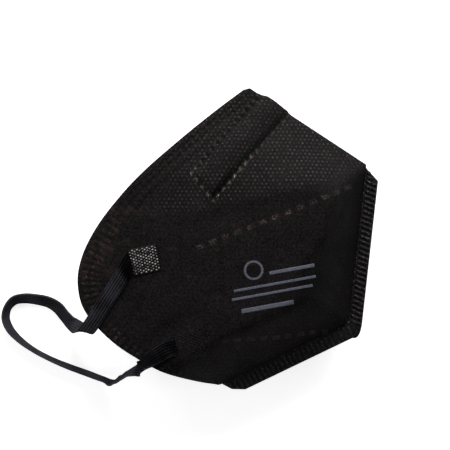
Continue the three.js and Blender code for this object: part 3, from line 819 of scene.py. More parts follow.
# %% Right ear band
table = {key: np.array([row[k] for row in RIGHT_ROUTE]) for k, key in
         enumerate(("x", "y", "rests", "value", "turn", "lean"))}
route = np.stack([table["x"], table["y"]], axis=1).astype(float)
spans = len(route) - 1
plan_along = tangents(smooth_curve(route, np.linspace(0, spans, spans * 50 + 1)))[::50]
plan_along = np.pad(plan_along, ((0, 0), (0, 1)))
route_across = across_of(table["turn"], table["lean"])
half_wide = BAND_WIDTH / 2 * route_across[:, 2]
over_rows = table["rests"] == "over"
over_face = off_face("right", table["x"], table["y"],
                     seat_of(plan_along, route_across) + half_wide
                     + np.where(over_rows, table["value"], 0))
on_floor = np.column_stack([route, table["value"] + half_wide])
band_centres = np.where(over_rows[:, None], over_face, on_floor)
flat_rows = over_rows & (table["value"] == 0)

at = np.linspace(0, spans, spans * BAND_STEPS + 1)
centre = smooth_curve(band_centres, at)
along = tangents(centre)
turns = smooth_curve(np.stack([table["turn"], table["lean"]], axis=1), at)
across = across_of(turns[:, 0], turns[:, 1])
on_cloth = flat_rows[np.floor(at + 1e-9).astype(int)] & flat_rows[np.ceil(at - 1e-9).astype(int)]
level = across / np.linalg.norm(np.cross(across, along), axis=1, keepdims=True)
upright = across - along * (across * along).sum(axis=1, keepdims=True)
upright /= np.linalg.norm(upright, axis=1, keepdims=True)
across = np.where(on_cloth[:, None], level, upright)
steps = np.linspace(-1, 1, BAND_COLUMNS)
band_grid = centre[:, None] + across[:, None] * (steps * BAND_WIDTH / 2)[None, :, None]
seat = seat_of(along, across)[on_cloth]
band_grid[on_cloth] = off_face("right", band_grid[on_cloth][..., 0], band_grid[on_cloth][..., 1],
                               np.repeat(seat[:, None], BAND_COLUMNS, axis=1))
right_ear_band, right_path, right_long = band_object("right_ear_band", centre, band_grid, steps)

# %% [markdown]
# ### The band under the mask
#
# The left band lies flat between the mask and the surface. Each end doubles back under its weld, in
# a half turn as tight as the band is thick.

# %% Left ear band
TURN_STEPS, TURN_END = 12, 165  # points of a half turn, and how far round it goes, in degrees


def double_back(start, heading):
    """A half turn down from a weld to the surface, seen from the side."""
    upper = 1.5 * BAND_THICK + GAP
    lower = BAND_THICK / 2 + RIB_HEIGHT
    radius, middle = (upper - lower) / 2, (upper + lower) / 2
    angle = np.radians(np.linspace(0, TURN_END, TURN_STEPS))[:, None]
    level_part = start - heading * radius * np.sin(angle)
    return np.hstack([level_part, middle + radius * np.cos(angle)])


lane = smooth_curve(LEFT_ROUTE, np.linspace(0, len(LEFT_ROUTE) - 1, 300))
lane_along = tangents(lane)
opening = double_back(lane[0], lane_along[0])
closing = double_back(lane[-1], -lane_along[-1])[::-1]
lane_flat = np.column_stack([lane, np.full(len(lane), BAND_THICK / 2 + RIB_HEIGHT)])
centre = np.vstack([opening, lane_flat, closing])
heading = np.vstack([np.repeat(lane_along[:1], len(opening), axis=0), lane_along,
                     np.repeat(lane_along[-1:], len(closing), axis=0)])
across = np.column_stack([-heading[:, 1], heading[:, 0], np.zeros(len(heading))])
outward = np.cross(tangents(centre), across)
centre = centre + outward / np.linalg.norm(outward, axis=1, keepdims=True) * BAND_THICK / 2
left_steps = np.linspace(-1, 1, LEFT_COLUMNS)
left_grid = centre[:, None] + across[:, None] * (left_steps * BAND_WIDTH / 2)[None, :, None]
left_ear_band, left_path, left_long = band_object("left_ear_band", centre, left_grid, left_steps)

# %% [markdown]
# ## The square welds
#
# Each end of a band is pressed into the cloth by a hot die with a grid of small points. What shows
# is a square of melted, shiny dots, closely set in staggered rows. The square is a thin sheet. One
# small dome is modelled from a sphere, cut and flattened, and copied for the dots, because real
# domes catch the lamp one by one, which a bump can't do at this size.

# %% One melted dot
DOT_SHAPE = (0.8, 0.6, 0.5)  # along, across and up, against a sphere 1 mm across
bpy.ops.mesh.primitive_uv_sphere_add(segments=10, ring_count=6, radius=0.5)
dome = bpy.context.active_object
bpy.ops.object.mode_set(mode="EDIT")
bpy.ops.mesh.select_all(action="SELECT")
bpy.ops.mesh.bisect(plane_co=(0, 0, -0.05), plane_no=(0, 0, 1), clear_inner=True, use_fill=True)
bpy.ops.object.mode_set(mode="OBJECT")
dome_points = np.array([v.co for v in dome.data.vertices]) * DOT_SHAPE
dome_faces = [tuple(p.vertices) for p in dome.data.polygons]
bpy.data.objects.remove(dome)
print("one dot has", len(dome_faces), "faces")

# %% Square welds with their dots
PAD_SIZE, PAD_TURN, PAD_SHEET, PAD_POINTS = 11.8, 18, 0.55, 25
PAD_FOOT, PAD_RIM = 0.3, 1.6
PAD_STANDS = {"upper": 0.75, "lower": 0.2}  # the lower welds are pressed almost level
DOT_ALONG, DOT_ACROSS, DOT_MARGIN = 2.12, 1.22, 0.45
DOT_STANDS = {"upper": 1.0, "lower": 0.45}
pad_way = np.array([*turned(1.0, 0.0, -PAD_TURN), 0.0])  # a weld's own first direction


def pad_places(middle, over, up):
    """Drawing x and y of places on a square weld, from its own two directions."""
    x, y = turned(over, up, -PAD_TURN)
    return middle[0] + x, middle[1] + y


def pad_lift(over, up, place):
    """The outer face of the weld: low at its rim and level inside."""
    rim = PAD_SIZE / 2 - np.maximum(np.abs(over), np.abs(up))
    return PAD_FOOT + PAD_STANDS[place] * smoothstep(0.0, PAD_RIM, rim)


def pad_sheet(name, side, place, middle):
    """The thin square of melted cloth."""
    shares = np.linspace(-0.5, 0.5, PAD_POINTS) * PAD_SIZE
    up, over = np.meshgrid(shares, shares, indexing="ij")
    grid = off_face(side, *pad_places(middle, over, up), pad_lift(over, up, place))
    if side == "right":
        grid = grid[::-1]
    pad = grid_object(name, grid, "cloth", grid[..., :2])
    thicken(pad, PAD_SHEET)
    return pad


def pad_dots(name, side, place, middle):
    """The melted dots of a square weld, each a copy of the dome that stands on the cloth."""
    places = [(i * DOT_ALONG / 2, (j + (i % 2) / 2) * DOT_ACROSS)
              for i in range(-10, 11) for j in range(-10, 11)]
    places = [p for p in places if max(abs(p[0]), abs(p[1])) <= PAD_SIZE / 2 - DOT_MARGIN]
    points, faces = [], []
    for k, (over, up) in enumerate(places):
        x, y = (np.array([v]) for v in pad_places(middle, over, up))
        foot = off_face(side, x, y, pad_lift(over, up, place)[None])[0]
        out = face_normal(side, x, y)[0]
        right = pad_way - out * pad_way.dot(out)
        right /= np.linalg.norm(right)
        axes = np.stack([right, np.cross(out, right), out])
        points.append(foot + dome_points * (1, 1, DOT_STANDS[place]) @ axes)
        faces += [tuple(v + k * len(dome_points) for v in face) for face in dome_faces]
    mesh = bpy.data.meshes.new(name)
    mesh.from_pydata(to_model(np.vstack(points)).tolist(), [], faces)
    mesh.shade_smooth()
    print(name, "has", len(points), "dots")
    return link_object(name, mesh)


pads = {}
for side in SIDES:
    for place, middle in (("upper", UPPER_PAD), ("lower", LOWER_PAD)):
        name = f"{side}_{place}_pad"
        pads[side, place] = (pad_sheet(name, side, place, middle),
                             pad_dots(name + "_dots", side, place, middle))

# %% [markdown]
# ## The ribbed flange
#
# The two sides are welded together at the front and the chin between ribbed tools. What is left is
# a flat flange with a bar across it every two millimetres. The flange is a plate with the outline
# of the CAD part, extruded from a flat face. One bar is modelled with its edges rounded, and
# copied along both stretches. A displaced plane could show the bars too, but real bars keep crisp
# ends.

# %% Outline of the flange
FLANGE_WIDTH, CHIN_WIDTH = 5.8, 6.4
FLANGE_CORNER, FLANGE_TOP_CUT = 1.2, 6.5
TAB_CUT, TAB_END = 8.0, (4.5, -1.7)
PLATE_THICK, BAR_THICK = 1.1, 2.1
front_end, chin_tip = np.array(FRONT_END), np.array(CHIN_TIP)
chin_way = (chin_tip - front_end) / np.linalg.norm(chin_tip - front_end)
chin_out = np.array([-chin_way[1], chin_way[0]])
front_outer = FRONT_END[0] + FLANGE_WIDTH
chin_corner = front_end + chin_out * CHIN_WIDTH
corner_start = chin_corner + chin_way * FLANGE_CORNER
corner_pull = np.array([front_outer, chin_corner[1] - FLANGE_CORNER])
corner_stop = np.array([front_outer, FRONT_END[1] + FLANGE_CORNER])
corner_t = np.linspace(0, 1, 8)[:, None]
corner_curve = ((1 - corner_t) ** 2 * corner_start + 2 * corner_t * (1 - corner_t) * corner_pull
                + corner_t ** 2 * corner_stop)
TUCK = 1.2  # how far the plate reaches in between the two sides
outline = [
    (NOSE_END[0] - TUCK, NOSE_END[1] - 0.3),
    (FRONT_END[0] - TUCK, FRONT_END[1] + TUCK / 2),
    tuple(chin_tip - chin_out * TUCK - chin_way * 2 * TUCK),
    tuple(chin_tip),
    (CHIN_TIP[0] + TAB_END[0], CHIN_TIP[1] + TAB_END[1]),
    tuple(chin_tip + chin_out * CHIN_WIDTH - chin_way * TAB_CUT),
    *(tuple(point) for point in corner_curve),
    (front_outer, NOSE_END[1] - FLANGE_TOP_CUT),
]
print("the flange's outline has", len(outline), "corners")

# %% Flange plate and the bead at its seam
PLATE_ROUND, BEAD_ROUND = 0.35, 0.3
BEAD_IN, BEAD_OUT, BEAD_THICK = 1.7, 0.45, 2.1


def flat_plate(name, outline, thick, round_edge):
    """A plate in the flange's plane, with its edges rounded."""
    make_active(None)
    mesh = bpy.data.meshes.new(name)
    low = [(*point, MID_HEIGHT - thick / 2) for point in outline]
    mesh.from_pydata(to_model(low).tolist(), [], [tuple(range(len(outline)))])
    plate = link_object(name, mesh)
    make_active(plate)
    bpy.ops.object.mode_set(mode="EDIT")
    bpy.ops.mesh.select_all(action="SELECT")
    bpy.ops.mesh.extrude_region_move(TRANSFORM_OT_translate={"value": (0, 0, thick * MM)})
    bpy.ops.mesh.select_all(action="SELECT")
    bpy.ops.mesh.normals_make_consistent(inside=False)
    bpy.ops.object.mode_set(mode="OBJECT")
    apply_modifier(plate, "BEVEL", width=round_edge * MM, segments=3)
    print(name, "has", len(plate.data.polygons), "faces")
    return plate


ribbed_flange = flat_plate("ribbed_flange", outline, PLATE_THICK, PLATE_ROUND)
# Where the two sides meet the flange, a bead of melted cloth fills the corner between them.
seam_line = [np.array([NOSE_END[0], NOSE_END[1] - 1.6]), front_end, chin_tip - chin_way]
seam_out = [np.array([1.0, 0.0]), np.array([1.0, -0.45]), chin_out]
bead_outline = ([tuple(p - o * BEAD_IN) for p, o in zip(seam_line, seam_out)]
                + [tuple(p + o * BEAD_OUT) for p, o in zip(seam_line[::-1], seam_out[::-1])])
seam_bead = flat_plate("seam_bead", bead_outline, BEAD_THICK, BEAD_ROUND)

# %% Flange bars
BAR_PITCH, BAR_WIDE, BAR_ROUND, CHIN_BAR_THICK = 2.15, 1.25, 0.42, 1.6
BAR_SLANT, BAR_LEAN = math.radians(-16), math.radians(9)
BAR_START, BAR_SHORTER = 0.55, 0.75  # from the seam, and than the flange is wide
TOP_BAR, TOP_EDGE = 3.4, 0.6  # first bar and edge of the cut end, down from the nose line's end
FIRST_CHIN_BAR, CHIN_REST, TAB_WIDTH = 0.9, 2.4, 2.2


def flange_bar(start, way, turn, wide, thick):
    """One rounded bar across the flange, leaning a little, with its place in its mesh."""
    length = wide - BAR_SHORTER
    make_active(None)
    middle = start + way * (BAR_START + length / 2)
    bpy.ops.mesh.primitive_cube_add(size=MM, location=to_model([*middle, MID_HEIGHT]))
    bar = bpy.context.active_object
    bar.scale = (length, BAR_WIDE, thick)
    bar.rotation_euler = (BAR_LEAN, 0, turn)
    bpy.ops.object.transform_apply(location=True, rotation=True, scale=True)
    apply_modifier(bar, "BEVEL", width=BAR_ROUND * MM, segments=3)
    return bar


bars = [seam_bead]
front_top, front_way = NOSE_END[1] - TOP_BAR, np.array([1.0, 0.0])
for k in range(int((front_top - FRONT_END[1]) / BAR_PITCH) + 1):
    y = front_top - k * BAR_PITCH
    wide = min(FLANGE_WIDTH, (NOSE_END[1] - y - TOP_EDGE) / FLANGE_TOP_CUT * FLANGE_WIDTH)
    bars.append(flange_bar(np.array([FRONT_END[0], y]), front_way, BAR_SLANT, wide, BAR_THICK))
chin_long = float(np.linalg.norm(chin_tip - front_end))
chin_turn = math.atan2(chin_out[1], chin_out[0])
for k in range(int((chin_long - CHIN_REST) / BAR_PITCH) + 1):
    gone = FIRST_CHIN_BAR + k * BAR_PITCH
    wide = min(CHIN_WIDTH, TAB_WIDTH + (chin_long - gone) / TAB_CUT * (CHIN_WIDTH - TAB_WIDTH))
    bars.append(flange_bar(front_end + chin_way * gone, chin_out, chin_turn, wide,
                           CHIN_BAR_THICK))
make_active(ribbed_flange)
for bar in bars:
    bar.select_set(True)
bpy.ops.object.join()
bpy.ops.object.shade_smooth_by_angle(angle=math.radians(40))
print("flange:", len(bars) - 1, "bars,", len(ribbed_flange.data.polygons), "faces")

# %% [markdown]
# ## A plain printed mark
#
# Masks of this kind carry a small print on the cheek. Here it is only four plain bars and a ring,
# with no letters. Ink lies in the cloth, so each mark is a very thin patch just over it, laid on
# the same surface and relief. A colour in the material would do as well, but a patch can be left
# out.

# %% Printed bars and ring
INK_THICK, INK_OVER, INK_STEP = 0.06, 0.1, 0.6
INK_TURN = 16.6
INK_BARS = [  # start x and y, length and height
    (15.2, -8.4, 19.0, 1.5),
    (1.4, -17.2, 34.5, 1.1),
    (1.0, -20.9, 34.0, 1.1),
    (5.6, -25.6, 22.0, 1.9),
]
RING_MIDDLE, RING_INNER, RING_OUTER = (8.4, -7.2), 3.1, 4.1


def ink_patch(x, y):
    """Points just over the cloth of the right side."""
    return off_face("right", x, y, shell_relief(x, y) + INK_OVER)


patches = []
for x0, y0, length, tall in INK_BARS:
    over, up = turned(*np.meshgrid(np.linspace(0, length, int(length / INK_STEP)),
                                   np.linspace(0, tall, 5), indexing="ij"), -INK_TURN)
    patches.append(ink_patch(x0 + over, y0 + up))
turn, radius = np.meshgrid(np.linspace(0, 2 * math.pi, 49),
                           np.linspace(RING_OUTER, RING_INNER, 4), indexing="ij")
patches.append(ink_patch(RING_MIDDLE[0] + radius * np.cos(turn),
                         RING_MIDDLE[1] + radius * np.sin(turn)))
ink_faces, ink_count = [], 0
for patch in patches:
    ink_faces.append(grid_faces(point_numbers(patch.shape[:2], start=ink_count)))
    ink_count += patch[..., 0].size
ink_points = np.vstack([patch.reshape(-1, 3) for patch in patches])
ink_marks = cloth_object("ink_marks", ink_points, np.vstack(ink_faces),
                         {"cloth": ink_points[:, :2]})
thicken(ink_marks, INK_THICK)

# %% [markdown]
# ## Materials
#
# Every finish is built from nodes, because such a pattern has no edge and no fixed grain, and each
# number in it can be read and changed. The patterns follow the cloth through the UV maps made
# above, which hold real distances, and their sizes are given in millimetres. One helper adds a
# node with its settings and inputs, and gives one of its outputs. The other helpers put several
# nodes together into a place or a pattern that more than one finish needs.

# %% Node helper
MATH, RANGE, MIX = "ShaderNodeMath", "ShaderNodeMapRange", "ShaderNodeMix"
NOISE, SPLIT = "ShaderNodeTexNoise", "ShaderNodeSeparateXYZ"
SMOOTH = {"interpolation_type": "SMOOTHSTEP"}
COLOUR = {"output": 2, "data_type": "RGBA"}  # inputs 0, 6 and 7 are share, first and second colour


def hex_colour(code):
    """An sRGB hex colour as the linear RGBA that a shader wants."""
    shares = [int(code[i:i + 2], 16) / 255 for i in (1, 3, 5)]
    linear = [s / 12.92 if s <= 0.04045 else ((s + 0.055) / 1.055) ** 2.4 for s in shares]
    return (*linear, 1.0)


def add_node(tree, kind, inputs=(), output=0, **settings):
    """Adds a node with its settings, links or fills its inputs, and gives one output or all."""
    made = tree.nodes.new(kind)
    for key, value in settings.items():
        setattr(made, key, value)
    for key, value in (inputs if isinstance(inputs, dict) else dict(enumerate(inputs))).items():
        if isinstance(value, bpy.types.NodeSocket):
            tree.links.new(value, made.inputs[key])
        else:
            made.inputs[key].default_value = hex_colour(value) if isinstance(value, str) else value
    return made.outputs if output is None else made.outputs[output]


def new_material(name, **values):
    """A material with one Principled shader, whose uniform values are set on its own sockets."""
    material = bpy.data.materials.new(name)
    material.use_nodes = True
    shader = material.node_tree.nodes["Principled BSDF"]
    for key, value in values.items():
        shader.inputs[key.replace("_", " ")].default_value = value
    return material, partial(add_node, material.node_tree)


def finish(material, colour, rough=None, relief=None):
    """Links a colour, a roughness and a relief (height, strength, millimetres) to the shader."""
    tree = material.node_tree
    results = {"Base Color": colour}
    if rough is not None:
        results["Roughness"] = rough
    if relief is not None:
        height, strength, deep = relief
        results["Normal"] = add_node(tree, "ShaderNodeBump", {
            "Height": height, "Strength": strength, "Distance": deep * MM})
    for socket, result in results.items():
        tree.links.new(result, tree.nodes["Principled BSDF"].inputs[socket])
    print(material.name, "has", len(tree.nodes), "nodes")


print("colour test: #808080 is", round(hex_colour("#808080")[0], 3), "linear")

# %% Places and patterns in millimetres
def object_in_mm(node):
    """Object coordinates in millimetres."""
    place = node("ShaderNodeTexCoord", output="Object")
    return node("ShaderNodeMapping", {"Vector": place, "Scale": (1000, 1000, 1000)})


def map_in_mm(node, name, turn=0.0):
    """The places of a UV map in millimetres, turned if asked."""
    place = node("ShaderNodeUVMap", uv_map=name)
    return node("ShaderNodeMapping", {"Vector": place, "Scale": (1000, 1000, 1000),
                                      "Rotation": (0, 0, math.radians(turn))})


def lumps(place, size_mm, detail=2.0, roughness=0.5):
    """Inputs for a noise whose lumps are about this size, on a place in millimetres."""
    return {"Vector": place, "Scale": 1.0 / size_mm, "Detail": detail, "Roughness": roughness}


def repeat(node, value, pitch):
    """Signed distance from the middle of the nearest repeat."""
    share = node(MATH, [node(MATH, [value, pitch], operation="DIVIDE")], operation="FRACT")
    share = node(MATH, [share, 0.5], operation="SUBTRACT")
    return node(MATH, [share, pitch], operation="MULTIPLY")


def staggered_dots(node, x, y, across, down, radius, soft):
    """Round dots in rows, each row shifted by half a step."""
    row = node(MATH, [node(MATH, [y, down], operation="DIVIDE")], operation="FLOOR")
    odd = node(MATH, [row, 2.0], operation="FLOORED_MODULO")
    shift = node(MATH, [odd, across / 2], operation="MULTIPLY")
    dx = repeat(node, node(MATH, [x, shift], operation="ADD"), across)
    dy = repeat(node, y, down)
    squares = [node(MATH, [d, d], operation="MULTIPLY") for d in (dx, dy)]
    far = node(MATH, [node(MATH, squares, operation="ADD")], operation="SQRT")
    return node(RANGE, [far, radius - soft, radius + soft, 1.0, 0.0], **SMOOTH)


print("a fibre clump of 0.9 mm gives a noise scale of", round(lumps(None, 0.9)["Scale"], 2))

# %% [markdown]
# ### Welds of the spunbond cloth
#
# Where two or more layers are welded, the plastic fibres melt into small hard spots, and the brown
# tint of the filter layers shows through. The shell has two rows of short dashes along its edge and
# two lines of blocks across the cheek. Both could be drawn in an image, but the UV maps "edge" and
# "line" already hold the distances along and across them, so a few nodes draw them at any size. The
# dashes fade towards the nose and the chin, as the hot tool presses them less there.

# %% Weld dashes of the shell
def shell_welds(node, body, along, away):
    """Where the shell is melted: two rows of dashes at its edge and two lines of blocks."""
    step = node(MATH, [repeat(node, along, DASH_PITCH)], operation="ABSOLUTE")
    dash = node(RANGE, [step, 0.3, 0.9, 1.0, 0.0], **SMOOTH)
    in_row = []
    for row in DASH_ROWS:
        off_row = node(MATH, [node(MATH, [away, row], operation="SUBTRACT")], operation="ABSOLUTE")
        in_row.append(node(RANGE, [off_row, 0.75, 1.45, 1.0, 0.0], **SMOOTH))
    edge = node(MATH, [dash, node(MATH, in_row, operation="MAXIMUM")], operation="MULTIPLY")
    worn = node(RANGE, [node(NOISE, lumps(body, 9.0, 2.0, 0.6)), 0.4, 0.62, 0.25, 1.0])
    past_nose = node(RANGE, [along, 70.0, 92.0, 0.22, 1.0])
    before_chin = node(RANGE, [along, 166.0, 178.0, 1.0, 0.0], **SMOOTH)
    clear = node(MATH, [past_nose, before_chin], operation="MULTIPLY")
    clear = node(MATH, [worn, clear], operation="MULTIPLY")
    edge = node(MATH, [edge, clear], operation="MULTIPLY")

    u, v, _ = node(SPLIT, [map_in_mm(node, "line")], None)
    whole = node(MATH, [u, 0.5], operation="ADD")
    off_block = node(MATH, [repeat(node, whole, 1.0)], operation="ABSOLUTE")
    off_line = node(MATH, [v], operation="ABSOLUTE")
    block_long = node(RANGE, [off_block, 0.2, 0.36, 1.0, 0.0], **SMOOTH)
    block_wide = node(RANGE, [off_line, 0.65, 1.35, 1.0, 0.0], **SMOOTH)
    line = node(MATH, [block_long, block_wide], operation="MULTIPLY")
    low_line = node(RANGE, [node(SPLIT, [body], 1), -36.0, -16.0, 0.4, 0.8])
    line_end = node(RANGE, [u, 7.5, 12.0, 1.0, 0.6])
    strong = node(MATH, [low_line, line_end], operation="MULTIPLY")
    line = node(MATH, [line, strong], operation="MULTIPLY")
    return node(MATH, [edge, line], operation="MAXIMUM")


print("dash rows", DASH_ROWS, "mm from the edge, a dash every", DASH_PITCH, "mm")

# %% [markdown]
# ### Spunbond cloth
#
# The outer layer is black spunbond polypropylene: fine plastic fibres laid at random and bonded by a
# heated roller with small points. The fibres are dull. Each bonded point is a smooth, pressed spot, a
# little glossier than the fibres, and the dots, with a faint haze over the cloth, are also painted
# brighter, as painted highlights, wherever the cloth faces the lamp. One attribute of the points says
# how strongly they are painted so, and another where painted shade darkens the cloth and hides its
# fibres a little. The plastic's IOR is about 1.49, so the shader keeps its 1.5, and the loose fibres
# take nearly all the gloss away, so the specular level is low. A real fibre is
# only 0.02 mm thick, and the dots are 0.7 mm wide. The fibres are drawn as clumps of 0.9 mm so
# that they show.

# %% Spunbond material
DOT_STEP, DOT_ROW, DOT_RADIUS, DOT_SOFT = 1.85, 1.6, 0.36, 0.2
DOT_TURN = -6.4
FIBRE_CLUMP, RUST_SPOT, PATCH = 0.9, 4.0, 14.0
# How dark the painted shade gets, how ragged the welds are, and the melted spots' dull colour and
# painted glint colour.
WELDED = {
    "shell": (0.5, 0.4, "#261F1C", "#5D524F"),
    "pocket": (0.68, 0.45, "#60524A", "#BEB3AB"),
}


def spunbond_material(name, welds):
    """Black fibres with bonded dots, brown patches, painted gleam and painted shade, and the shell's
    or pocket's welds.
    """
    material, node = new_material(name, Specular_IOR_Level=0.02)
    shade_depth, lowest, dull, glint_colour = WELDED[welds]
    body = object_in_mm(node)
    x, y, _ = node(SPLIT, [map_in_mm(node, "cloth", DOT_TURN)], None)
    painted_gleam, painted_shade = (node("ShaderNodeAttribute", output="Fac", attribute_name=value)
                    for value in ("painted_gleam", "painted_shade"))

    dots = staggered_dots(node, x, y, DOT_STEP, DOT_ROW, DOT_RADIUS, DOT_SOFT)
    uneven = node(RANGE, [node(NOISE, lumps(body, 1.7, 2.0, 0.6)), 0.4, 0.66, 0.1, 1.0])
    clear = node(MATH, [uneven, painted_gleam], operation="MULTIPLY")
    shine = node(MATH, [dots, clear], operation="MULTIPLY")

    fibres = node(NOISE, lumps(body, FIBRE_CLUMP, 4.0, 0.75))
    fluff = node(RANGE, [fibres, 0.36, 0.68, 0.0, 1.0])
    # The fibres show less where painted shade lies.
    unshaded_share = node(RANGE, [painted_shade, 0.0, 1.0, 1.0, 0.75])
    fluff = node(MATH, [fluff, unshaded_share], operation="MULTIPLY")
    patches = node(NOISE, lumps(body, PATCH))
    rust = node(NOISE, lumps(body, RUST_SPOT, 3.0, 0.7))
    if welds == "shell":
        along, away, _ = node(SPLIT, [map_in_mm(node, "edge")], None)
        near_edge = node(RANGE, [away, 7.0, 23.0, 1.0, 0.0], **SMOOTH)
        before_chin = node(RANGE, [along, 100.0, 124.0, 1.0, 0.0], **SMOOTH)
        past_nose = node(RANGE, [along, 52.0, 74.0, 0.0, 0.13])
        beside_cheek = node(MATH, [before_chin, past_nose], operation="MULTIPLY")
        more = node(MATH, [near_edge, beside_cheek], operation="MULTIPLY")
        rust = node(MATH, [rust, more], operation="ADD")
        weld = shell_welds(node, body, along, away)
    else:
        weld = node("ShaderNodeAttribute", output="Fac", attribute_name="weld")

    colour = node(MIX, {0: fluff, 6: "#0A0909", 7: "#252223"}, **COLOUR)
    for share, tint in (
        (node(RANGE, [rust, 0.6, 0.78, 0.0, 0.55]), "#392D28"),  # the filter's brown
        (node(RANGE, [patches, 0.35, 0.7, 0.0, 0.35]), "#0A0909"),  # closer fibres
        (node(MATH, [painted_gleam, 0.13], operation="MULTIPLY"), "#2C2929"),  # painted light on the facet that faces the lamp
        (node(MATH, [shine, 0.75], operation="MULTIPLY"), "#524D4D"),  # painted highlights on the bonded dots that face the lamp
        (node(MATH, [painted_shade, shade_depth], operation="MULTIPLY"), "#040404"),  # painted shade
    ):
        colour = node(MIX, {0: share, 6: colour, 7: tint}, **COLOUR)

    ragged = node(RANGE, [node(NOISE, lumps(body, 1.1, 3.0, 0.8)), 0.38, 0.56, lowest, 1.0])
    weld = node(MATH, [weld, ragged], operation="MULTIPLY")
    # Painted glints on the melted spots, in the glint colour.
    glint = node(RANGE, [node(NOISE, lumps(body, 0.8, 2.0, 0.6)), 0.52, 0.66, 0.0, 1.0])
    melted_and_glints = node(MIX, {0: glint, 6: dull, 7: glint_colour}, **COLOUR)
    colour = node(MIX, {0: weld, 6: colour, 7: melted_and_glints}, **COLOUR)

    rough = node(RANGE, [patches, 0.3, 0.7, 0.74, 0.84])
    for smooth, share in ((shine, 0.25), (weld, 0.2)):
        less = node(MATH, [smooth, share], operation="MULTIPLY")
        rough = node(MATH, [rough, less], operation="SUBTRACT")
    pressed = node(MATH, [dots, node(MATH, [painted_gleam, -0.5], operation="MULTIPLY")],
                   operation="MULTIPLY")
    raised = node(MATH, [fibres, 0.5], operation="MULTIPLY")
    finish(material, colour, rough, (node(MATH, [raised, pressed], operation="ADD"), 0.7, 0.2))
    return material


spunbond_shell = spunbond_material("spunbond_shell", "shell")
spunbond_pocket = spunbond_material("spunbond_pocket", "pocket")
mask_cloth.data.materials[0] = spunbond_shell
nose_pocket.data.materials.append(spunbond_pocket)
print("bond dots every", DOT_STEP, "by", DOT_ROW, "mm")

# %% [markdown]
# ### Needled felt inside
#
# The layer that touches the face is soft needled fibre. It is dull and dark grey and has no bonded
# dots, so one fine noise is enough for its colour, its roughness and its fluff.

# %% Inner felt material
inner_felt, node = new_material("inner_felt", Specular_IOR_Level=0.1)
wool = node(NOISE, lumps(object_in_mm(node), 0.6, 3.0, 0.6))
finish(inner_felt, node(MIX, {0: wool, 6: "#232221", 7: "#3E3C3B"}, **COLOUR),
       node(RANGE, [wool, 0.3, 0.7, 0.85, 0.95]), (wool, 0.5, 0.2))
mask_cloth.data.materials[1] = inner_felt

# %% [markdown]
# ### Welded flange
#
# The flange is the same cloth, pressed hard between heated tools: smoother, blacker and shinier.
# The raised bars carry pale painted glints, and the grooves between them stay black. The bars are
# told apart by their height off the flange's middle plane.

# %% Flange material
pressed_flange, node = new_material("pressed_flange", Specular_IOR_Level=0.15)
body = object_in_mm(node)
grain = node(NOISE, lumps(body, 0.9, 3.0, 0.7))
level = node(MATH, [node(SPLIT, [body], 2), MID_HEIGHT], operation="SUBTRACT")
off_middle = node(MATH, [level], operation="ABSOLUTE")
raised = node(RANGE, [off_middle, PLATE_THICK / 2 + 0.02, BAR_THICK / 2, 0.0, 1.2])
# Pale painted glints on the tops of the bars.
bar_glints = node(RANGE, [node(NOISE, lumps(body, 0.8, 2.0, 0.6)), 0.56, 0.68, 0.0, 1.0])
bar_glints = node(MATH, [bar_glints, raised], operation="MULTIPLY")
pressed = node(RANGE, [grain, 0.4, 0.65, 0.0, 1.0])
pressed = node(MIX, {0: pressed, 6: "#060506", 7: "#1E1B1C"}, **COLOUR)
finish(pressed_flange, node(MIX, {0: bar_glints, 6: pressed, 7: "#5A5354"}, **COLOUR),
       node(RANGE, [grain, 0.3, 0.7, 0.3, 0.6]), (grain, 0.8, 0.25))
ribbed_flange.data.materials.append(pressed_flange)

# %% [markdown]
# ### Knitted elastic
#
# The ear bands are a flat knit of matt polyester over elastic thread. Fine ribs run along them, and
# each rib is a row of small slanting loops. A sine along the band and a cosine across it draw the
# loops, and the UV map "band" bends them with it. The band gets painted shade by the weld at its
# start, where it lies on the cloth and near its far end, and it is a little worn and paler elsewhere.

# %% Knitted elastic material
STITCH_LONG, STITCH_WIDE = 0.75, BAND_WIDTH / WALES  # one loop of the knit, in millimetres
LOOP_SLANT = 1.2
knitted_elastic, node = new_material("knitted_elastic", Specular_IOR_Level=0.0)
place = map_in_mm(node, "band")
along_map, across_map, _ = node(SPLIT, [place], None)
slant = node(MATH, [repeat(node, across_map, STITCH_WIDE * 2)], operation="ABSOLUTE")
slant = node(MATH, [slant, LOOP_SLANT], operation="MULTIPLY")
loops = node(MATH, [along_map, slant], operation="ADD")
waves_of_knit = []
for value, length, wave, deep in ((loops, STITCH_LONG, "SINE", 0.35),
                                  (across_map, STITCH_WIDE, "COSINE", 0.4)):
    turn = node(MATH, [value, 2 * math.pi / length], operation="MULTIPLY")
    waves_of_knit.append(node(MATH, [node(MATH, [turn], operation=wave), deep],
                              operation="MULTIPLY"))
knit = node(MATH, waves_of_knit, operation="ADD")
wear = node(NOISE, lumps(place, 1.3, 3.0, 0.75))
bright = node(RANGE, [node(NOISE, lumps(place, 9.0, 1.0)), 0.35, 0.65, 0.0, 0.5])
# Places along the right band, in millimetres from its upper weld.
at_weld = node(RANGE, [along_map, 2.5, 7.5, 1.0, 0.0], **SMOOTH)
on_cloth_part = node(RANGE, [along_map, 41.0, 47.0, 1.0, 0.0], **SMOOTH)
far_end_part = node(RANGE, [along_map, 213.0, 230.0, 0.0, 1.9])
flat_part = node(MATH, [on_cloth_part, far_end_part], operation="ADD")
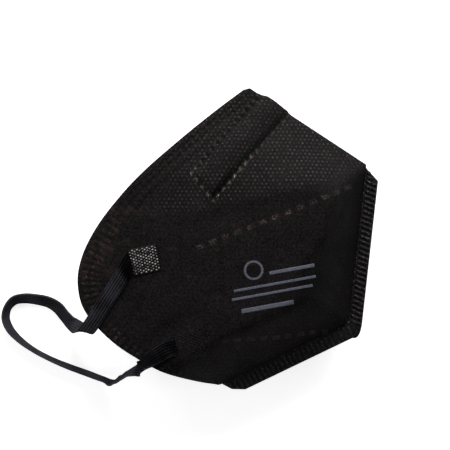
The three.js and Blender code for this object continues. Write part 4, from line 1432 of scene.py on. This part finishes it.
# Painted shade on the band: by the weld at its start, where it lies on the cloth, and near its far
# end.
band_painted_shade = [node(MATH, [part, share], operation="MULTIPLY")
           for part, share in ((at_weld, -1.0), (flat_part, -0.55))]
shade = node(MATH, [node(MATH, [knit, wear], operation="ADD"),
                    node(MATH, [bright, node(MATH, band_painted_shade, operation="ADD")], operation="ADD")],
             operation="ADD")
shade = node(RANGE, [shade, -0.3, 1.4, 0.0, 1.0])
finish(knitted_elastic, node(MIX, {0: shade, 6: "#060607", 7: "#404046"}, **COLOUR),
       node(RANGE, [wear, 0.3, 0.7, 0.6, 0.75]), (knit, 0.7, 0.1))
for band in (right_ear_band, left_ear_band):
    band.data.materials.append(knitted_elastic)

# %% [markdown]
# ### Pressed welds and their melted dots
#
# Under the hot die the cloth is squeezed into a smooth dark sheet, and its fibres melt into clear
# beads, which carry pale painted glints against it. The upper welds are strong, with bright painted
# glints on their beads. The lower ones are hardly pressed, so they keep the cloth's own finish and
# dull beads with faint painted glints. The clouding is 1.6 mm wide, so that neighbouring beads
# differ.

# %% Weld materials
DOT_COLOURS = {  # dull colour of the beads, their painted glint colour, and the range of noise between them
    "upper": ("#282526", "#C2BAB8", (0.4, 0.66)),
    "lower": ("#131212", "#2C2622", (0.5, 0.72)),
}
pressed_weld, node = new_material("pressed_weld", Specular_IOR_Level=0.12)
grain = node(NOISE, lumps(object_in_mm(node), 0.5, 2.0, 0.6))
finish(pressed_weld, node(MIX, {0: grain, 6: "#08080A", 7: "#131214"}, **COLOUR),
       node(RANGE, [grain, 0.3, 0.7, 0.45, 0.65]))
pad_finish = {"upper": pressed_weld, "lower": spunbond_pocket}
for place, (dull, glint_colour, clear) in DOT_COLOURS.items():
    melted_and_glints, node = new_material(f"melted_dots_with_glints_{place}", Specular_IOR_Level=0.1)
    cloudy = node(NOISE, lumps(object_in_mm(node), 1.6, 2.0, 0.6))
    share = node(RANGE, [cloudy, *clear, 0.0, 1.0])
    finish(melted_and_glints, node(MIX, {0: share, 6: dull, 7: glint_colour}, **COLOUR),
           node(RANGE, [cloudy, 0.3, 0.7, 0.3, 0.5]))
    for side in SIDES:
        pad, dots = pads[side, place]
        pad.data.materials.append(pad_finish[place])
        dots.data.materials.append(melted_and_glints)

# %% [markdown]
# ### Matt ink
#
# The print is a thin, matt, greyish ink. It sits on loose fibres, so it breaks up a little, and a
# fine noise between two greys is enough to show that.

# %% Ink material
matt_ink, node = new_material("matt_ink", Specular_IOR_Level=0.2, Roughness=0.8)
broken = node(NOISE, lumps(object_in_mm(node), 0.4, 2.0, 0.7))
broken = node(RANGE, [broken, 0.3, 0.6, 0.0, 1.0])
finish(matt_ink, node(MIX, {0: broken, 6: "#34363D", 7: "#5F626E"}, **COLOUR))
ink_marks.data.materials.append(matt_ink)

# %% [markdown]
# ## Floor and light
#
# The mask lies on plain white paper in a studio. The paper glows a little, as if it were lit from
# below, so that it stays white around a black object. One large soft lamp stands beyond the nose of
# the mask, low enough to rake over the cloth, so that only the slopes that face it are bright. A
# second, weaker one fills the side by the ear bands, and a little light comes from all round.

# %% Floor, lamps and world
FLOOR_SIZE, PULP_SCALE, PAPER_GLOW, SKY_LIGHT = 6.0, 900.0, 0.7, 0.2
make_active(None)
bpy.ops.mesh.primitive_plane_add(size=FLOOR_SIZE, location=(0, 0, 0))
floor = bpy.context.active_object
floor.name = "studio_floor"
studio_paper, node = new_material("studio_paper", Roughness=0.9, Specular_IOR_Level=0.1,
                                  Emission_Strength=PAPER_GLOW,
                                  Emission_Color=hex_colour("#FFFFFF"))
pulp = node(NOISE, {"Vector": node("ShaderNodeTexCoord", output="Object"), "Scale": PULP_SCALE})
finish(studio_paper, node(MIX, {0: pulp, 6: "#F4F4F4", 7: "#FBFBFB"}, **COLOUR))
floor.data.materials.append(studio_paper)


def lamp(name, place, size, power, aim=(0.0, 0.0, 0.03)):
    """A square area lamp that points at the mask."""
    data = bpy.data.lights.new(name, "AREA")
    data.shape, data.size, data.energy = "SQUARE", size, power
    made = link_object(name, data)
    made.location = place
    made.rotation_euler = (Vector(aim) - Vector(place)).to_track_quat("-Z", "Y").to_euler()


lamp("key_lamp", place=(0.15, 1.3, 0.8), size=1.0, power=29.0)
lamp("fill_lamp", place=(-1.3, -0.5, 0.45), size=1.0, power=9.0)
world = bpy.data.worlds.new("studio")
bpy.context.scene.world = world
world.use_nodes = True
sky = world.node_tree.nodes["Background"]
sky.inputs["Color"].default_value = hex_colour("#FFFFFF")
sky.inputs["Strength"].default_value = SKY_LIGHT
bpy.context.scene.view_settings.view_transform = "Standard"
print("materials:", sorted(m.name for m in bpy.data.materials if m.users))

# %% [markdown]
# ## What each piece stands for
#
# Every piece rides on the mask's one body, and the CAD node that a piece stands in for is hidden.

# %% Body and stand-ins
stand_ins = [
    (mask_cloth, "cloth", "mask_shell"), (nose_pocket, "cloth", "nose_clip_pocket"),
    (ribbed_flange, "weld", "seam_band"), (right_ear_band, "elastic", "right_ear_loop"),
    (left_ear_band, "elastic", "left_ear_loop"),
]
for (side, place), (pad, dots) in pads.items():
    stand_ins += [(pad, "pad", f"{side}_{place}_weld"), (dots, "pad", None)]
stand_ins.append((ink_marks, "cloth", None))
for piece, slot_name, cad_node in stand_ins:
    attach(piece, "root")
    if cad_node:
        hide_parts(cad_node)
print(len(stand_ins), "pieces ride on the body")


# %% Update the scene
bpy.context.view_layer.update()
